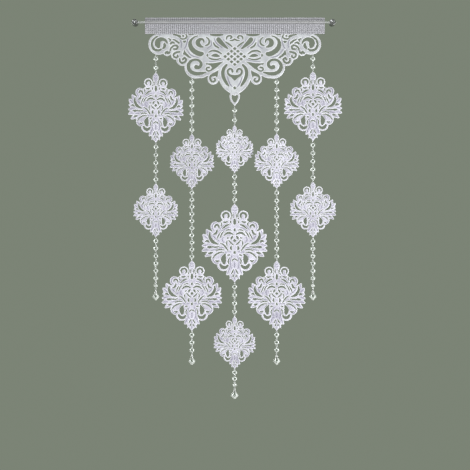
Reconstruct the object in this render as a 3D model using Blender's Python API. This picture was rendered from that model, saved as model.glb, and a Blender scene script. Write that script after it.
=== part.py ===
"""Window hanging: a cut-out cloth valance on a slim rod, with five bead strings of cut-out medallions.

Metres, +Z up. The origin lies on the rod's axis, on the centre line of the cloth.
The hanging faces -Y, and the backs of the two rod holders face +Y.
The valance and the medallions are drawn on squared paper. In every drawing table u is the
distance out from the centre line and v is the depth below the top, both in squares.
"""
import math

import bmesh
import bpy
import numpy as np
from mathutils import Matrix, Vector
from mathutils.geometry import delaunay_2d_cdt

# Cloth
SHEET = 0.0016                # thickness of the cut cloth
SEAT = 0.0003                 # air between two pieces that touch
DRAWING_STEP = 0.25           # pitch of the drawing's grid, in squares

# Valance
VALANCE_SQUARE = 0.0028       # one square of its drawing
VALANCE_TOP = -0.033          # height of v = 0, the lower edge of the heading
VALANCE_GAPS = 78
VALANCE_TOLERANCE = 0.0010    # how far its straightened outlines may stand off the drawn ones

# Medallions
MEDALLION_SQUARES = 66.8      # a medallion's width in squares of its drawing
MEDALLION_HEIGHT_SQUARES = 80.9
MEDALLION_GAPS = 16
MEDALLION_TOLERANCE = 0.0013

# Heading band
BAND_LEFT = -0.2515
BAND_RIGHT = 0.2520
BAND_TOP = 0.0126
BAND_LAYER = 0.0016
POCKET_RADIUS = 0.0036

# Rod and holders
ROD_RADIUS = 0.00325
HOLDER_LEFT = -0.2795
HOLDER_RIGHT = 0.2735
HOLDER_RADIUS = 0.0091
HOLDER_FRONT = -0.0075
HOLDER_BACK = 0.0200
SOCKET_DEPTH = 0.0050

# Bead strings
BEAD_HALF = 0.0070            # half the height and half the width of a bead
BEAD_DEPTH = 0.0038           # half its thickness
BEAD_SHOULDER = 0.0036        # height of its wide part above and below the middle
LINK_HALF = 0.0008            # half the width of the wire links between beads
DROP_LENGTH = 0.0300

VALANCE_BODY = (
    (79, -2), (79, 3), (76, 12), (67.6, 19), (58.9, 22), (52, 27), (38.8, 36), (30, 36),
    (21.4, 46), (15, 46), (11.5, 50.5), (7, 54), (-1, 59), (-1, -2),
)
# Scroll, u, v, radius of the round of cloth it is cut in
VALANCE_ROUNDS = (
    ("end", 76.1, 10.1, 10.4),
    ("curl a", 67.6, 17.9, 4.0),
    ("curl b", 58.9, 20.4, 5.1),
    ("curl c", 52.2, 25.3, 6.4),
    ("low", 38.8, 32.8, 11.6),
    ("foot", 21.6, 44.9, 5.6),
    ("onion", 8.0, 41.0, 8.6),
)
# Ribbon, then its stations: u, v, width
VALANCE_RIBBONS = (
    ("under the low scroll", (38.8, 42.5, 3.4), (32.5, 42.2, 3.4), (27.0, 40.0, 3.4), (24.0, 43.0, 3.4)),
    ("onion rim", (15.0, 34.0, 3.0), (15.4, 40.0, 3.0), (13.4, 47.5, 3.0), (8.6, 54.2, 3.2),
     (0.0, 59.4, 4.2)),
    ("onion leaf", (10.0, 40.0, 6.0), (6.5, 49.0, 7.0), (2.5, 55.0, 6.0), (0.0, 57.0, 5.0)),
    ("heart loop", (0.0, 59.0, 3.0), (2.6, 59.6, 2.2), (4.3, 61.6, 2.0), (3.2, 66.4, 1.9), (0.0, 70.4, 1.8)),
)
# Slot, then its stations: u, v, width
VALANCE_SLOTS = (
    ("end outer", (77.4, 2.1, 1.0), (81.6, 5.4, 1.5), (83.0, 10.4, 1.7), (80.8, 15.0, 2.0),
     (76.2, 16.2, 1.8), (73.8, 14.9, 1.2)),
    ("end inner", (67.6, 9.0, 0.9), (69.4, 6.2, 2.0), (73.0, 4.9, 3.2), (76.7, 6.6, 4.6),
     (77.3, 9.8, 5.2), (76.2, 12.5, 2.6)),
    ("end stem", (70.4, 9.2, 1.2), (70.1, 11.6, 2.4), (71.6, 14.1, 1.5)),
    ("curl a", (69.4, 18.9, 1.6), (67.9, 17.4, 1.3), (67.0, 18.9, 1.9), (65.3, 18.2, 1.7)),
    ("hook", (64.7, 16.4, 1.0), (63.8, 13.9, 1.3), (61.3, 11.7, 1.4), (58.6, 11.2, 1.5),
     (57.0, 12.8, 1.5), (58.3, 14.7, 1.6), (61.4, 14.8, 1.1)),
    ("hook upper", (61.8, 5.0, 0.7), (59.0, 6.5, 1.4), (56.0, 8.7, 1.5)),
    ("hook middle", (64.2, 9.4, 1.6), (62.6, 8.2, 1.7), (60.2, 8.9, 0.9)),
    ("hook outer", (66.4, 4.4, 0.8), (64.4, 5.6, 1.2), (65.0, 7.0, 0.7)),
    ("curl b", (55.2, 17.6, 1.2), (58.2, 18.1, 1.5), (60.8, 19.4, 1.4), (61.2, 21.7, 1.3),
     (59.2, 23.4, 1.3), (57.2, 22.4, 1.4), (57.4, 21.0, 1.0)),
    ("curl c", (55.3, 24.3, 1.0), (55.0, 27.0, 1.5), (52.8, 28.8, 1.7), (50.0, 27.8, 1.7),
     (48.7, 25.4, 1.6), (50.4, 23.7, 1.6), (51.8, 25.2, 1.5)),
    ("top curl eye", (51.9, 1.5, 1.3), (51.6, 1.9, 1.5)),
    ("top curl", (48.8, 0.6, 0.8), (47.9, 2.4, 1.2), (49.6, 4.3, 1.2), (52.2, 4.8, 1.1), (54.4, 4.2, 0.6)),
    ("top gap outer", (61.6, 0.5, 0.6), (58.0, 1.0, 1.3), (55.2, 2.1, 2.2), (55.0, 2.9, 1.0)),
    ("top seed", (49.3, 7.0, 1.0), (50.5, 7.5, 2.0), (51.4, 7.0, 0.8)),
    ("top gap middle", (41.4, 0.2, 0.4), (44.2, 0.2, 0.8), (46.0, 0.3, 0.5)),
    ("upper sweep", (37.2, 1.7, 0.6), (40.8, 3.1, 1.1), (43.9, 6.2, 2.2), (44.7, 10.4, 3.6),
     (42.7, 15.0, 4.4), (38.6, 18.3, 4.4), (34.6, 19.8, 4.4), (32.6, 19.5, 3.0)),
    ("upper inner", (30.8, 8.0, 0.9), (31.6, 5.6, 1.5), (34.4, 5.0, 2.4), (36.8, 7.2, 3.9),
     (36.5, 10.0, 4.0), (34.0, 12.1, 2.2), (31.8, 12.8, 1.0)),
    ("upper side", (28.4, 3.0, 0.6), (26.4, 4.8, 1.2), (25.5, 7.4, 1.4), (26.6, 10.2, 1.4),
     (29.2, 11.3, 0.9)),
    ("loop", (16.2, 5.4, 4.2), (14.6, 7.4, 4.2), (11.4, 10.6, 3.2), (7.2, 14.2, 1.2)),
    ("loop outer", (21.3, 8.6, 0.8), (19.4, 11.6, 1.5), (15.9, 13.7, 1.0)),
    ("loop inner", (9.0, 7.8, 0.8), (6.0, 9.8, 1.4), (2.8, 12.2, 0.9)),
    ("centre curl", (8.2, 4.9, 0.7), (7.5, 2.4, 1.1), (4.6, 1.5, 1.2), (2.9, 3.0, 1.2), (4.2, 4.2, 1.0)),
    ("centre bracket", (4.6, 6.4, 0.6), (2.2, 6.1, 1.1), (0.0, 4.9, 1.3)),
    ("top gap inner", (24.6, 0.5, 0.6), (20.8, 0.9, 1.6), (16.3, 1.0, 1.8), (11.8, 0.6, 0.7)),
    ("eye upper", (25.8, 18.0, 0.8), (22.4, 16.5, 1.3), (17.6, 17.1, 1.6), (13.2, 19.7, 0.6)),
    ("eye", (23.2, 21.5, 0.5), (19.2, 21.2, 3.0), (15.2, 22.1, 0.6)),
    ("eye lower", (25.8, 23.7, 0.9), (22.6, 25.0, 1.2), (18.0, 25.3, 1.0), (13.6, 24.0, 0.5)),
    ("eye corner", (27.2, 19.8, 0.5), (27.4, 21.2, 1.5), (27.0, 22.2, 0.6)),
    ("low scroll", (38.5, 32.9, 3.8), (36.0, 33.4, 2.6), (33.9, 31.2, 2.7), (34.2, 28.0, 2.2),
     (38.0, 25.6, 1.8), (43.0, 26.4, 2.1), (46.2, 30.2, 2.8), (45.9, 34.8, 3.2),
     (43.0, 38.2, 3.2), (38.4, 39.6, 3.2), (33.4, 39.2, 2.5), (29.0, 38.2, 0.8)),
    ("inner scroll", (25.7, 33.3, 1.5), (27.6, 33.5, 1.2), (28.4, 35.3, 1.2), (26.6, 36.9, 1.1),
     (23.6, 36.0, 1.1), (22.6, 34.6, 1.2)),
    ("foot scroll", (24.2, 41.8, 1.5), (24.7, 44.4, 1.6), (23.3, 47.0, 1.7), (20.9, 47.4, 1.5),
     (19.4, 45.8, 1.3), (20.5, 44.4, 1.3)),
    ("onion", (8.2, 30.8, 1.6), (10.6, 33.6, 2.5), (11.8, 37.2, 2.9), (11.7, 41.2, 3.0),
     (10.3, 45.4, 2.9), (8.0, 49.3, 2.2), (6.2, 51.8, 0.9)),
    ("heart", (2.2, 37.4, 1.6), (2.9, 35.3, 1.3), (5.2, 34.6, 1.4), (7.1, 36.7, 1.5),
     (6.5, 39.6, 1.5), (4.0, 41.6, 2.0), (0.0, 42.6, 2.8)),
    ("heart tip", (3.0, 42.6, 1.2), (0.0, 45.4, 1.6)),
)
# Opening, then its corners: u, v
VALANCE_OPENINGS = (
    ("spandrel", (50.7, 15.0), (48.8, 18.4), (46.0, 21.2), (42.6, 24.2), (45.8, 23.8), (48.2, 22.4),
     (50.0, 20.8), (52.0, 20.3), (51.2, 17.6)),
    ("wedge", (29.4, 28.8), (28.6, 30.7), (26.4, 30.6), (24.2, 31.6), (22.6, 33.6), (22.4, 36.2),
     (19.4, 34.4), (15.6, 31.2), (11.0, 27.2), (15.5, 28.0), (21.0, 29.0), (26.0, 29.1)),
    ("foot", (16.2, 35.8), (19.0, 37.6), (21.8, 38.8), (24.2, 40.4), (25.1, 42.4), (23.4, 43.0),
     (21.4, 42.2), (19.2, 42.0), (17.6, 43.4), (16.7, 40.0)),
    ("heart loop", (-1, 63.4), (0, 63.4), (1.3, 62.4), (3.0, 62.8), (2.6, 65.2), (0, 68.8), (-1, 68)),
)
VALANCE_SLOT_EASE = 0.28      # added to half the width of every slot
# Lattice of diamonds: how many a side, their pitch along u and v, the depth of its middle
LATTICE_SIDE = 4
LATTICE_PITCH_U = 3.2
LATTICE_PITCH_V = 2.65
LATTICE_MIDDLE = 22.3
LATTICE_DIAMOND = (1.95, 1.65)
# Diamond under the heart: u, v, half width, half height
HEART_DIAMOND = (0.0, 53.7, 2.0, 1.8)

MEDALLION_BODY = (
    (-1, 10), (2.6, 12), (3.4, 16), (7, 16.2), (12.4, 16.6), (14, 18.6), (19, 21), (24, 31), (27, 37),
    (26, 44), (25, 51), (20, 56), (14, 62), (8, 66), (6, 73), (2.6, 78), (-1, 79),
)
# Round of cloth, u, v, radius
MEDALLION_ROUNDS = (
    ("ring", 8.9, 12.4, 5.3),
    ("shoulder", 19.5, 23.5, 5.1),
    ("lobe", 17.4, 56.0, 6.5),
    ("bowl", 11.2, 62.7, 6.6),
)
MEDALLION_RIBBONS = (
    ("finial", (0, 0.3, 0.6), (0, 2.6, 3.4), (0, 5.8, 7.2), (0, 8.6, 6.4), (0, 12.0, 5.2), (0, 17.0, 7.0)),
    ("leaf 1", (22.0, 35.0, 10.0), (25.8, 30.8, 6.4), (28.2, 27.0, 1.9)),
    ("leaf 2", (23.0, 38.0, 10.0), (28.6, 35.0, 6.6), (31.7, 32.2, 2.2)),
    ("leaf 3", (24.0, 40.0, 8.0), (28.6, 39.0, 5.4), (31.6, 38.4, 2.4)),
    ("finger 1", (24.0, 43.0, 7.0), (29.0, 43.0, 4.8), (32.3, 43.2, 2.2)),
    ("finger 2", (24.0, 46.0, 7.0), (29.0, 47.0, 4.8), (32.3, 48.4, 2.2)),
    ("finger 3", (22.0, 49.0, 8.0), (26.4, 51.8, 5.0), (29.4, 53.9, 1.9)),
    ("tail leaf", (4.0, 67.0, 6.0), (6.2, 70.6, 4.2), (7.9, 72.8, 1.6)),
    ("tail", (0, 66, 9.0), (0, 73, 8.2), (0, 77.6, 4.0), (0, 80.6, 0.6)),
    ("tail side", (2.6, 73.0, 4.0), (4.9, 77.4, 0.8)),
)
MEDALLION_SLOTS = (
    ("ring", (6.8, 14.6, 0.9), (6.0, 12.4, 1.5), (6.8, 10.3, 1.7), (8.9, 9.5, 1.8), (11.0, 10.4, 1.8),
     (11.8, 12.5, 1.6), (11.0, 14.4, 1.0)),
    ("ring foot", (7.4, 18.4, 0.8), (9.4, 19.2, 1.5), (11.4, 18.8, 0.8)),
    ("neck", (0, 16.4, 1.8), (0, 19.4, 2.6), (0, 21.2, 1.2)),
    ("spear", (1.5, 10.4, 0.4), (1.7, 12.8, 0.6), (1.5, 14.6, 0.3)),
    ("eyelet", (3.9, 17.8, 0.7), (4.1, 19.2, 1.3)),
    ("arm", (5.6, 21.4, 0.8), (9.0, 22.8, 1.7), (12.4, 25.8, 0.8)),
    ("notch", (14.0, 19.4, 0.5), (13.2, 21.0, 0.9), (13.8, 22.8, 0.7)),
    ("shoulder", (15.8, 25.0, 1.0), (16.6, 22.4, 1.4), (18.9, 21.8, 1.4), (20.1, 23.8, 1.4)),
    ("elbow", (17.8, 27.4, 1.2), (19.0, 30.4, 1.8), (21.4, 31.6, 0.9)),
    ("long crescent", (25.2, 29.8, 0.9), (25.4, 34.0, 2.4), (22.4, 39.0, 3.0), (17.0, 41.6, 0.9)),
    ("thumb", (29.4, 38.6, 0.8), (27.6, 38.3, 1.9), (26.0, 39.4, 1.0)),
    ("palm", (27.6, 44.6, 0.8), (25.2, 44.6, 2.2), (22.9, 44.4, 1.0), (19.0, 44.7, 1.2), (15.4, 44.0, 0.5)),
    ("wrist", (26.4, 51.0, 0.8), (24.4, 50.8, 2.0), (22.4, 50.0, 0.6)),
    ("fan upper", (18.8, 48.2, 0.5), (14.8, 47.0, 1.1), (10.4, 47.6, 0.4)),
    ("fan lower", (22.4, 56.2, 0.5), (19.4, 52.4, 1.2), (14.8, 50.0, 1.1), (11.0, 50.1, 0.4)),
    ("lobe", (16.2, 58.5, 0.9), (17.6, 59.3, 1.5), (19.3, 58.6, 0.8)),
    ("hollow", (9.3, 51.5, 0.7), (10.6, 53.8, 2.8), (11.3, 57.0, 5.0), (10.8, 60.6, 3.0)),
    ("bowl", (7.1, 63.6, 1.6), (9.5, 65.6, 2.8), (12.6, 65.2, 3.2), (14.7, 62.6, 1.8)),
    ("bell", (5.0, 55.4, 0.5), (6.5, 58.6, 1.0), (6.0, 62.0, 0.5)),
    ("bell top", (0, 56.8, 0.9), (2.0, 57.6, 0.9), (2.8, 59.4, 0.3)),
    ("star", (0, 26.2, 1.4), (0, 27.6, 1.8)),
    ("brow", (1.6, 31.6, 0.8), (4.6, 30.1, 1.7), (8.0, 30.5, 1.7), (10.8, 32.8, 0.7)),
    ("brow upper", (3.4, 27.3, 0.4), (6.2, 26.8, 0.9), (9.2, 28.2, 0.4)),
    ("cheek", (1.9, 33.6, 0.8), (3.0, 35.0, 1.8), (3.6, 36.6, 0.8)),
    ("cheek side", (5.8, 35.0, 0.6), (7.4, 35.4, 1.1)),
    ("cross", (1.4, 42.2, 0.6), (3.8, 40.4, 1.2), (6.0, 37.6, 0.6)),
    ("cross side", (7.4, 38.2, 0.4), (8.3, 40.6, 1.0), (7.2, 43.8, 0.4)),
    ("seed", (3.4, 43.8, 0.9), (3.9, 45.8, 1.8), (3.2, 47.6, 0.7)),
    ("rib", (14.4, 40.6, 0.5), (11.2, 42.4, 1.2), (8.2, 46.0, 1.2), (6.6, 49.0, 0.4)),
    ("rib upper", (14.8, 35.2, 0.4), (13.2, 31.2, 1.0), (11.0, 28.6, 0.5)),
    ("rib side", (18.2, 37.0, 0.4), (16.4, 32.8, 1.0), (14.6, 29.6, 0.5)),
    ("drop", (0, 49.2, 1.4), (0, 50.4, 2.2)),
    ("bud", (5.0, 52.6, 0.8), (6.8, 53.0, 1.3)),
    ("tail slit", (1.0, 67.6, 0.5), (2.2, 70.0, 1.1), (3.4, 72.0, 0.5)),
    ("tail seed", (1.5, 73.2, 0.9), (1.5, 74.8, 1.2)),
)
MEDALLION_SLOT_EASE = 0.22
# Diamond in the middle: u, v, half width, half height
MEDALLION_DIAMOND = (0.0, 38.0, 2.0, 2.0)

# String: its x, the beads in each of its lengths, the depth of its drop under the rod,
# the drop's half width
STRINGS = {
    "outer_left": (-0.2210, (2, 5, 7), 0.7480, 0.0099),
    "outer_right": (0.2190, (2, 5, 7), 0.7478, 0.0099),
    "inner_left": (-0.1200, (7, 10, 3), 0.9290, 0.0099),
    "inner_right": (0.1175, (7, 9, 3), 0.9285, 0.0099),
    "centre": (-0.0003, (2, 4, 4, 3), 1.0245, 0.0110),
}
# Medallion: its string, the depth of its top tip under the rod, its width, height and turn in degrees
MEDALLIONS = (
    ("medallion_outer_left_upper", "outer_left", 0.1394, 0.1560, 0.1982, 12.0),
    ("medallion_outer_left_lower", "outer_left", 0.4508, 0.1250, 0.1509, 4.0),
    ("medallion_outer_right_upper", "outer_right", 0.1369, 0.1620, 0.1954, -3.0),
    ("medallion_outer_right_lower", "outer_right", 0.4455, 0.1290, 0.1570, -5.0),
    ("medallion_inner_left_upper", "inner_left", 0.3119, 0.1260, 0.1548, -8.0),
    ("medallion_inner_left_lower", "inner_left", 0.6658, 0.1680, 0.1982, 3.0),
    ("medallion_inner_right_upper", "inner_right", 0.3108, 0.1265, 0.1551, 7.0),
    ("medallion_inner_right_lower", "inner_right", 0.6667, 0.1620, 0.1973, -7.0),
    ("medallion_centre_upper", "centre", 0.2876, 0.1075, 0.1338, 11.0),
    ("medallion_centre_middle", "centre", 0.5074, 0.1840, 0.2209, 2.0),
    ("medallion_centre_lower", "centre", 0.8224, 0.1205, 0.1489, -11.0),
)

# Finish, base colour, roughness, metallic
FINISHES = {
    "white_cloth": ((0.84, 0.83, 0.87), 0.80, 0.0),
    "stone_mesh": ((0.62, 0.61, 0.66), 0.35, 0.4),
    "chrome": ((0.72, 0.73, 0.75), 0.18, 1.0),
    "clear_glass": ((0.86, 0.90, 0.90), 0.05, 0.0),
}


class Drawing:
    """Half of a symmetric cut-out on squared paper, as how far each grid point lies from the cloth."""

    def __init__(self, half_width, top, bottom):
        self.u = np.arange(0.0, half_width, DRAWING_STEP)
        self.v = np.arange(top, bottom, DRAWING_STEP)
        far = 9.0
        self.cloth = np.full((len(self.v), len(self.u)), far)
        self.gaps = np.full_like(self.cloth, far)
        self.far = far

    def stroke(self, layer, path, radii):
        """Draws a round-ended stroke of changing radius on one layer."""
        margin = max(radii) + 3.0 * DRAWING_STEP
        for (u0, v0), (u1, v1), r0, r1 in zip(path[:-1], path[1:], radii[:-1], radii[1:]):
            left, right = np.searchsorted(self.u, (min(u0, u1) - margin, max(u0, u1) + margin))
            upper, lower = np.searchsorted(self.v, (min(v0, v1) - margin, max(v0, v1) + margin))
            if left >= right or upper >= lower:
                continue
            window = (slice(upper, lower), slice(left, right))
            du = self.u[None, left:right] - u0
            dv = self.v[upper:lower, None] - v0
            run_u, run_v = u1 - u0, v1 - v0
            along = np.clip((du * run_u + dv * run_v) / max(run_u ** 2 + run_v ** 2, 1e-9), 0.0, 1.0)
            distance = np.hypot(du - along * run_u, dv - along * run_v) - (r0 + along * (r1 - r0))
            layer[window] = np.minimum(layer[window], distance)

    def dot(self, layer, u, v, radius):
        """Draws a full round."""
        self.stroke(layer, ((u, v), (u, v)), (radius, radius))

    def polygon(self, layer, corners):
        """Draws a filled outline given by its corners."""
        loop = list(corners) + [corners[0]]
        edge = np.full_like(layer, self.far)
        self.stroke(edge, loop, [0.0] * len(loop))
        inside = np.zeros(layer.shape, dtype=bool)
        u, v = np.meshgrid(self.u, self.v)
        for (u0, v0), (u1, v1) in zip(loop[:-1], loop[1:]):
            if v0 != v1:
                inside ^= ((v0 > v) != (v1 > v)) & (u < u0 + (v - v0) * (u1 - u0) / (v1 - v0))
        np.minimum(layer, np.where(inside, -edge, edge), out=layer)

    def diamond(self, u, v, half_width, half_height):
        """Cuts an upright diamond on both sides of the centre line."""
        slope = math.hypot(1.0 / half_width, 1.0 / half_height)
        for side in (u, -u):
            reach = np.abs(self.u[None, :] - side) / half_width + np.abs(self.v[:, None] - v) / half_height
            np.minimum(self.gaps, (reach - 1.0) / slope, out=self.gaps)

    def outlines(self):
        """The closed outlines of the cloth, in squares, as arrays of (u, v)."""
        half = np.maximum(self.cloth, -self.gaps)
        field = np.concatenate((half[:, :0:-1], half), axis=1)
        u = np.concatenate((-self.u[:0:-1], self.u))
        return trace(field, u, self.v)


def trace(field, u, v):
    """Follows the zero line of a field through its grid and returns it as closed loops."""
    inside = field < 0.0
    code = (inside[:-1, :-1] * 1 + inside[:-1, 1:] * 2 + inside[1:, 1:] * 4 + inside[1:, :-1] * 8)
    following = {}
    for row, column in zip(*np.nonzero((code > 0) & (code < 15))):
        top = ("across", row, column)
        right = ("down", row, column + 1)
        bottom = ("across", row + 1, column)
        left = ("down", row, column)
        steps = {
            1: ((left, top),), 2: ((top, right),), 3: ((left, right),), 4: ((right, bottom),),
            6: ((top, bottom),), 7: ((left, bottom),), 8: ((bottom, left),), 9: ((bottom, top),),
            11: ((bottom, right),), 12: ((right, left),), 13: ((right, top),), 14: ((top, left),),
            5: ((left, top), (right, bottom)), 10: ((top, right), (bottom, left)),
        }
        for start, end in steps[int(code[row, column])]:
            following[start] = end

    def place(edge):
        kind, row, column = edge
        step_row, step_column = (0, 1) if kind == "across" else (1, 0)
        a = field[row, column]
        b = field[row + step_row, column + step_column]
        share = min(max(a / (a - b), 0.02), 0.98)
        return (u[column] + share * step_column * (u[1] - u[0]), v[row] + share * step_row * (v[1] - v[0]))

    loops = []
    while following:
        start, edge = following.popitem()
        loop = [place(start)]
        while edge != start:
            loop.append(place(edge))
            edge = following.pop(edge)
        loops.append(np.array(loop))
    return loops


def smooth_path(stations, steps=8):
    """A smooth path through a few (u, v, width) stations, as its points and its radii."""
    rows = np.array(stations, dtype=float)
    rows = np.vstack((2 * rows[0] - rows[1], rows, 2 * rows[-1] - rows[-2]))
    path = []
    for a, b, c, d in zip(rows[:-3], rows[1:-2], rows[2:-1], rows[3:]):
        for t in np.arange(steps) / steps:
            bend = (2 * a - 5 * b + 4 * c - d) * t ** 2 + (3 * b - a - 3 * c + d) * t ** 3
            path.append(b + ((c - a) * t + bend) / 2)
    path = np.array(path + [rows[-2]])
    return path[:, :2], np.maximum(path[:, 2] / 2, 0.02)


def draw_valance():
    """The valance's outlines in squares."""
    drawing = Drawing(88.0, -3.0, 73.0)
    drawing.polygon(drawing.cloth, VALANCE_BODY)
    for name, u, v, radius in VALANCE_ROUNDS:
        drawing.dot(drawing.cloth, u, v, radius)
    for name, *stations in VALANCE_RIBBONS:
        drawing.stroke(drawing.cloth, *smooth_path(stations))
    for name, *stations in VALANCE_SLOTS:
        path, radii = smooth_path(stations)
        drawing.stroke(drawing.gaps, path, radii + VALANCE_SLOT_EASE)
    for name, *corners in VALANCE_OPENINGS:
        drawing.polygon(drawing.gaps, corners)
    for row in range(LATTICE_SIDE):
        for column in range(row + 1):
            for turn in (row + column, 2 * (LATTICE_SIDE - 1) - row - column):
                depth = LATTICE_MIDDLE + (turn - LATTICE_SIDE + 1) * LATTICE_PITCH_V
                drawing.diamond((row - column) * LATTICE_PITCH_U, depth, *LATTICE_DIAMOND)
    drawing.diamond(*HEART_DIAMOND)
    return drawing.outlines()


def draw_medallion():
    """A medallion's outlines in squares."""
    drawing = Drawing(35.0, -1.0, 82.0)
    drawing.polygon(drawing.cloth, MEDALLION_BODY)
    for name, u, v, radius in MEDALLION_ROUNDS:
        drawing.dot(drawing.cloth, u, v, radius)
    for name, *stations in MEDALLION_RIBBONS:
        drawing.stroke(drawing.cloth, *smooth_path(stations))
    for name, *stations in MEDALLION_SLOTS:
        path, radii = smooth_path(stations)
        drawing.stroke(drawing.gaps, path, radii + MEDALLION_SLOT_EASE)
    drawing.diamond(*MEDALLION_DIAMOND)
    return drawing.outlines()


def area(loop):
    """Area inside a closed loop, whose sign tells an outline from a gap."""
    x, z = loop[:, 0], loop[:, 1]
    return (np.dot(x, np.roll(z, -1)) - np.dot(z, np.roll(x, -1))) / 2


def straighten(loop, tolerance):
    """Keeps only the points of a closed loop that its shape needs."""
    far = int(np.argmax(np.hypot(*(loop - loop[0]).T)))
    kept = {0, far}
    spans = [(0, far), (far, len(loop))]
    closed = np.vstack((loop, loop[:1]))
    while spans:
        start, end = spans.pop()
        if end - start < 2:
            continue
        run = closed[end] - closed[start]
        off = closed[start + 1:end] - closed[start]
        length = max(np.hypot(*run), 1e-9)
        stand = np.abs(off[:, 0] * run[1] - off[:, 1] * run[0]) / length
        middle = int(np.argmax(stand))
        if stand[middle] > tolerance:
            middle += start + 1
            kept.add(middle)
            spans += [(start, middle), (middle, end)]
    return loop[sorted(kept)]


def largest(loops, gaps):
    """The outer outline first, then the given number of gaps, the largest first."""
    outline = max(loops, key=lambda loop: abs(area(loop)))
    way = math.copysign(1.0, area(outline))
    holes = sorted((loop for loop in loops if area(loop) * way < 0), key=lambda loop: area(loop) * way)
    return [outline] + holes[:gaps]


def finish(name):
    """The named finish as a material."""
    material = bpy.data.materials.get(name)
    if material is None:
        colour, roughness, metallic = FINISHES[name]
        material = bpy.data.materials.new(name)
        material.use_nodes = True
        shader = material.node_tree.nodes["Principled BSDF"]
        shader.inputs["Base Color"].default_value = (*colour, 1.0)
        shader.inputs["Roughness"].default_value = roughness
        shader.inputs["Metallic"].default_value = metallic
        material.diffuse_color = (*colour, 1.0)
    return material


def add_object(name, mesh, material):
    """Puts a mesh in the scene under a name."""
    mesh.materials.append(finish(material))
    part = bpy.data.objects.new(name, mesh)
    bpy.context.scene.collection.objects.link(part)
    return part


def triangulate(loops):
    """Triangles between an outer outline and the gaps in it: their corners and the corner numbers."""
    points = []
    edges = []
    for loop in loops:
        first = len(points)
        points += [Vector(point) for point in loop]
        count = len(loop)
        edges += [(first + i, first + (i + 1) % count) for i in range(count)]
    corners, _, triangles, *_ = delaunay_2d_cdt(points, edges, [], 1, 1e-7)
    corners = np.array([corner[:] for corner in corners])
    triangles = np.array([list(triangle) for triangle in triangles])
    middles = corners[triangles].mean(axis=1)
    inside = np.zeros(len(middles), dtype=bool)
    for loop in loops:
        for (u0, v0), (u1, v1) in zip(loop, np.roll(loop, -1, axis=0)):
            if v0 != v1:
                along = u0 + (middles[:, 1] - v0) * (u1 - u0) / (v1 - v0)
                inside ^= ((v0 > middles[:, 1]) != (v1 > middles[:, 1])) & (middles[:, 0] < along)
    return corners, triangles[inside]


def extruded(name, loops, place, push):
    """A closed mesh of a flat shape, each (u, v) placed by a function and pushed along a vector."""
    corners, triangles = triangulate(loops)
    mesh = bpy.data.meshes.new(name)
    model = bmesh.new()
    verts = [model.verts.new(place(*corner)) for corner in corners]
    for triangle in triangles:
        model.faces.new([verts[i] for i in triangle])
    far = bmesh.ops.extrude_face_region(model, geom=model.faces[:])["geom"]
    moved = [item for item in far if isinstance(item, bmesh.types.BMVert)]
    bmesh.ops.translate(model, verts=moved, vec=push)
    model.normal_update()
    bmesh.ops.recalc_face_normals(model, faces=model.faces[:])
    model.to_mesh(mesh)
    model.free()
    return mesh


def sheet_mesh(name, loops):
    """A cut sheet, SHEET thick about the plane y = 0; its outlines are (x, z) in metres."""
    return extruded(name, loops, lambda x, z: (x, -SHEET / 2, z), (0.0, SHEET, 0.0))


def loft(name, sections):
    """A closed body through rings of points, pointed or flat at both ends."""
    mesh = bpy.data.meshes.new(name)
    model = bmesh.new()
    rings = [[model.verts.new(point) for point in section] for section in sections]
    for upper, lower in zip(rings[:-1], rings[1:]):
        count = len(upper)
        for i in range(count):
            model.faces.new((upper[i], upper[(i + 1) % count], lower[(i + 1) % count], lower[i]))
    model.faces.new(rings[0])
    model.faces.new(rings[-1])
    model.normal_update()
    bmesh.ops.recalc_face_normals(model, faces=model.faces[:])
    bmesh.ops.triangulate(model, faces=model.faces[:])
    model.to_mesh(mesh)
    model.free()
    return mesh


def ring(z, half_width, half_depth, sides):
    """A level ring of points, the first one at +X."""
    turns = [2 * math.pi * i / sides for i in range(sides)]
    return [(half_width * math.cos(turn), half_depth * math.sin(turn), z) for turn in turns]


def build_valance():
    """Cuts the valance and returns its outer outline in world x and z."""
    loops = [loop * (VALANCE_SQUARE, -VALANCE_SQUARE) + (0.0, VALANCE_TOP) for loop in draw_valance()]
    loops = [straighten(loop, VALANCE_TOLERANCE) for loop in largest(loops, VALANCE_GAPS)]
    add_object("valance", sheet_mesh("valance", loops), "white_cloth")
    return loops[0]


def build_medallions():
    """Cuts the medallions, and returns the heights of the tips that hang on each string."""
    tips = {string: [] for string in STRINGS}
    drawn = draw_medallion()
    for name, string, depth, width, height, turn in MEDALLIONS:
        scale = (width / MEDALLION_SQUARES, -height / MEDALLION_HEIGHT_SQUARES)
        loops = [straighten(loop * scale, MEDALLION_TOLERANCE) for loop in largest(drawn, MEDALLION_GAPS)]
        top = loops[0][:, 1].max()
        bottom = loops[0][:, 1].min()
        part = add_object(name, sheet_mesh(name, [loop - (0.0, top) for loop in loops]), "white_cloth")
        part.location = (STRINGS[string][0], 0.0, -depth)
        part.rotation_euler.z = math.radians(turn)
        tips[string].append((-depth, bottom - top - depth))
    return tips


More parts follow.
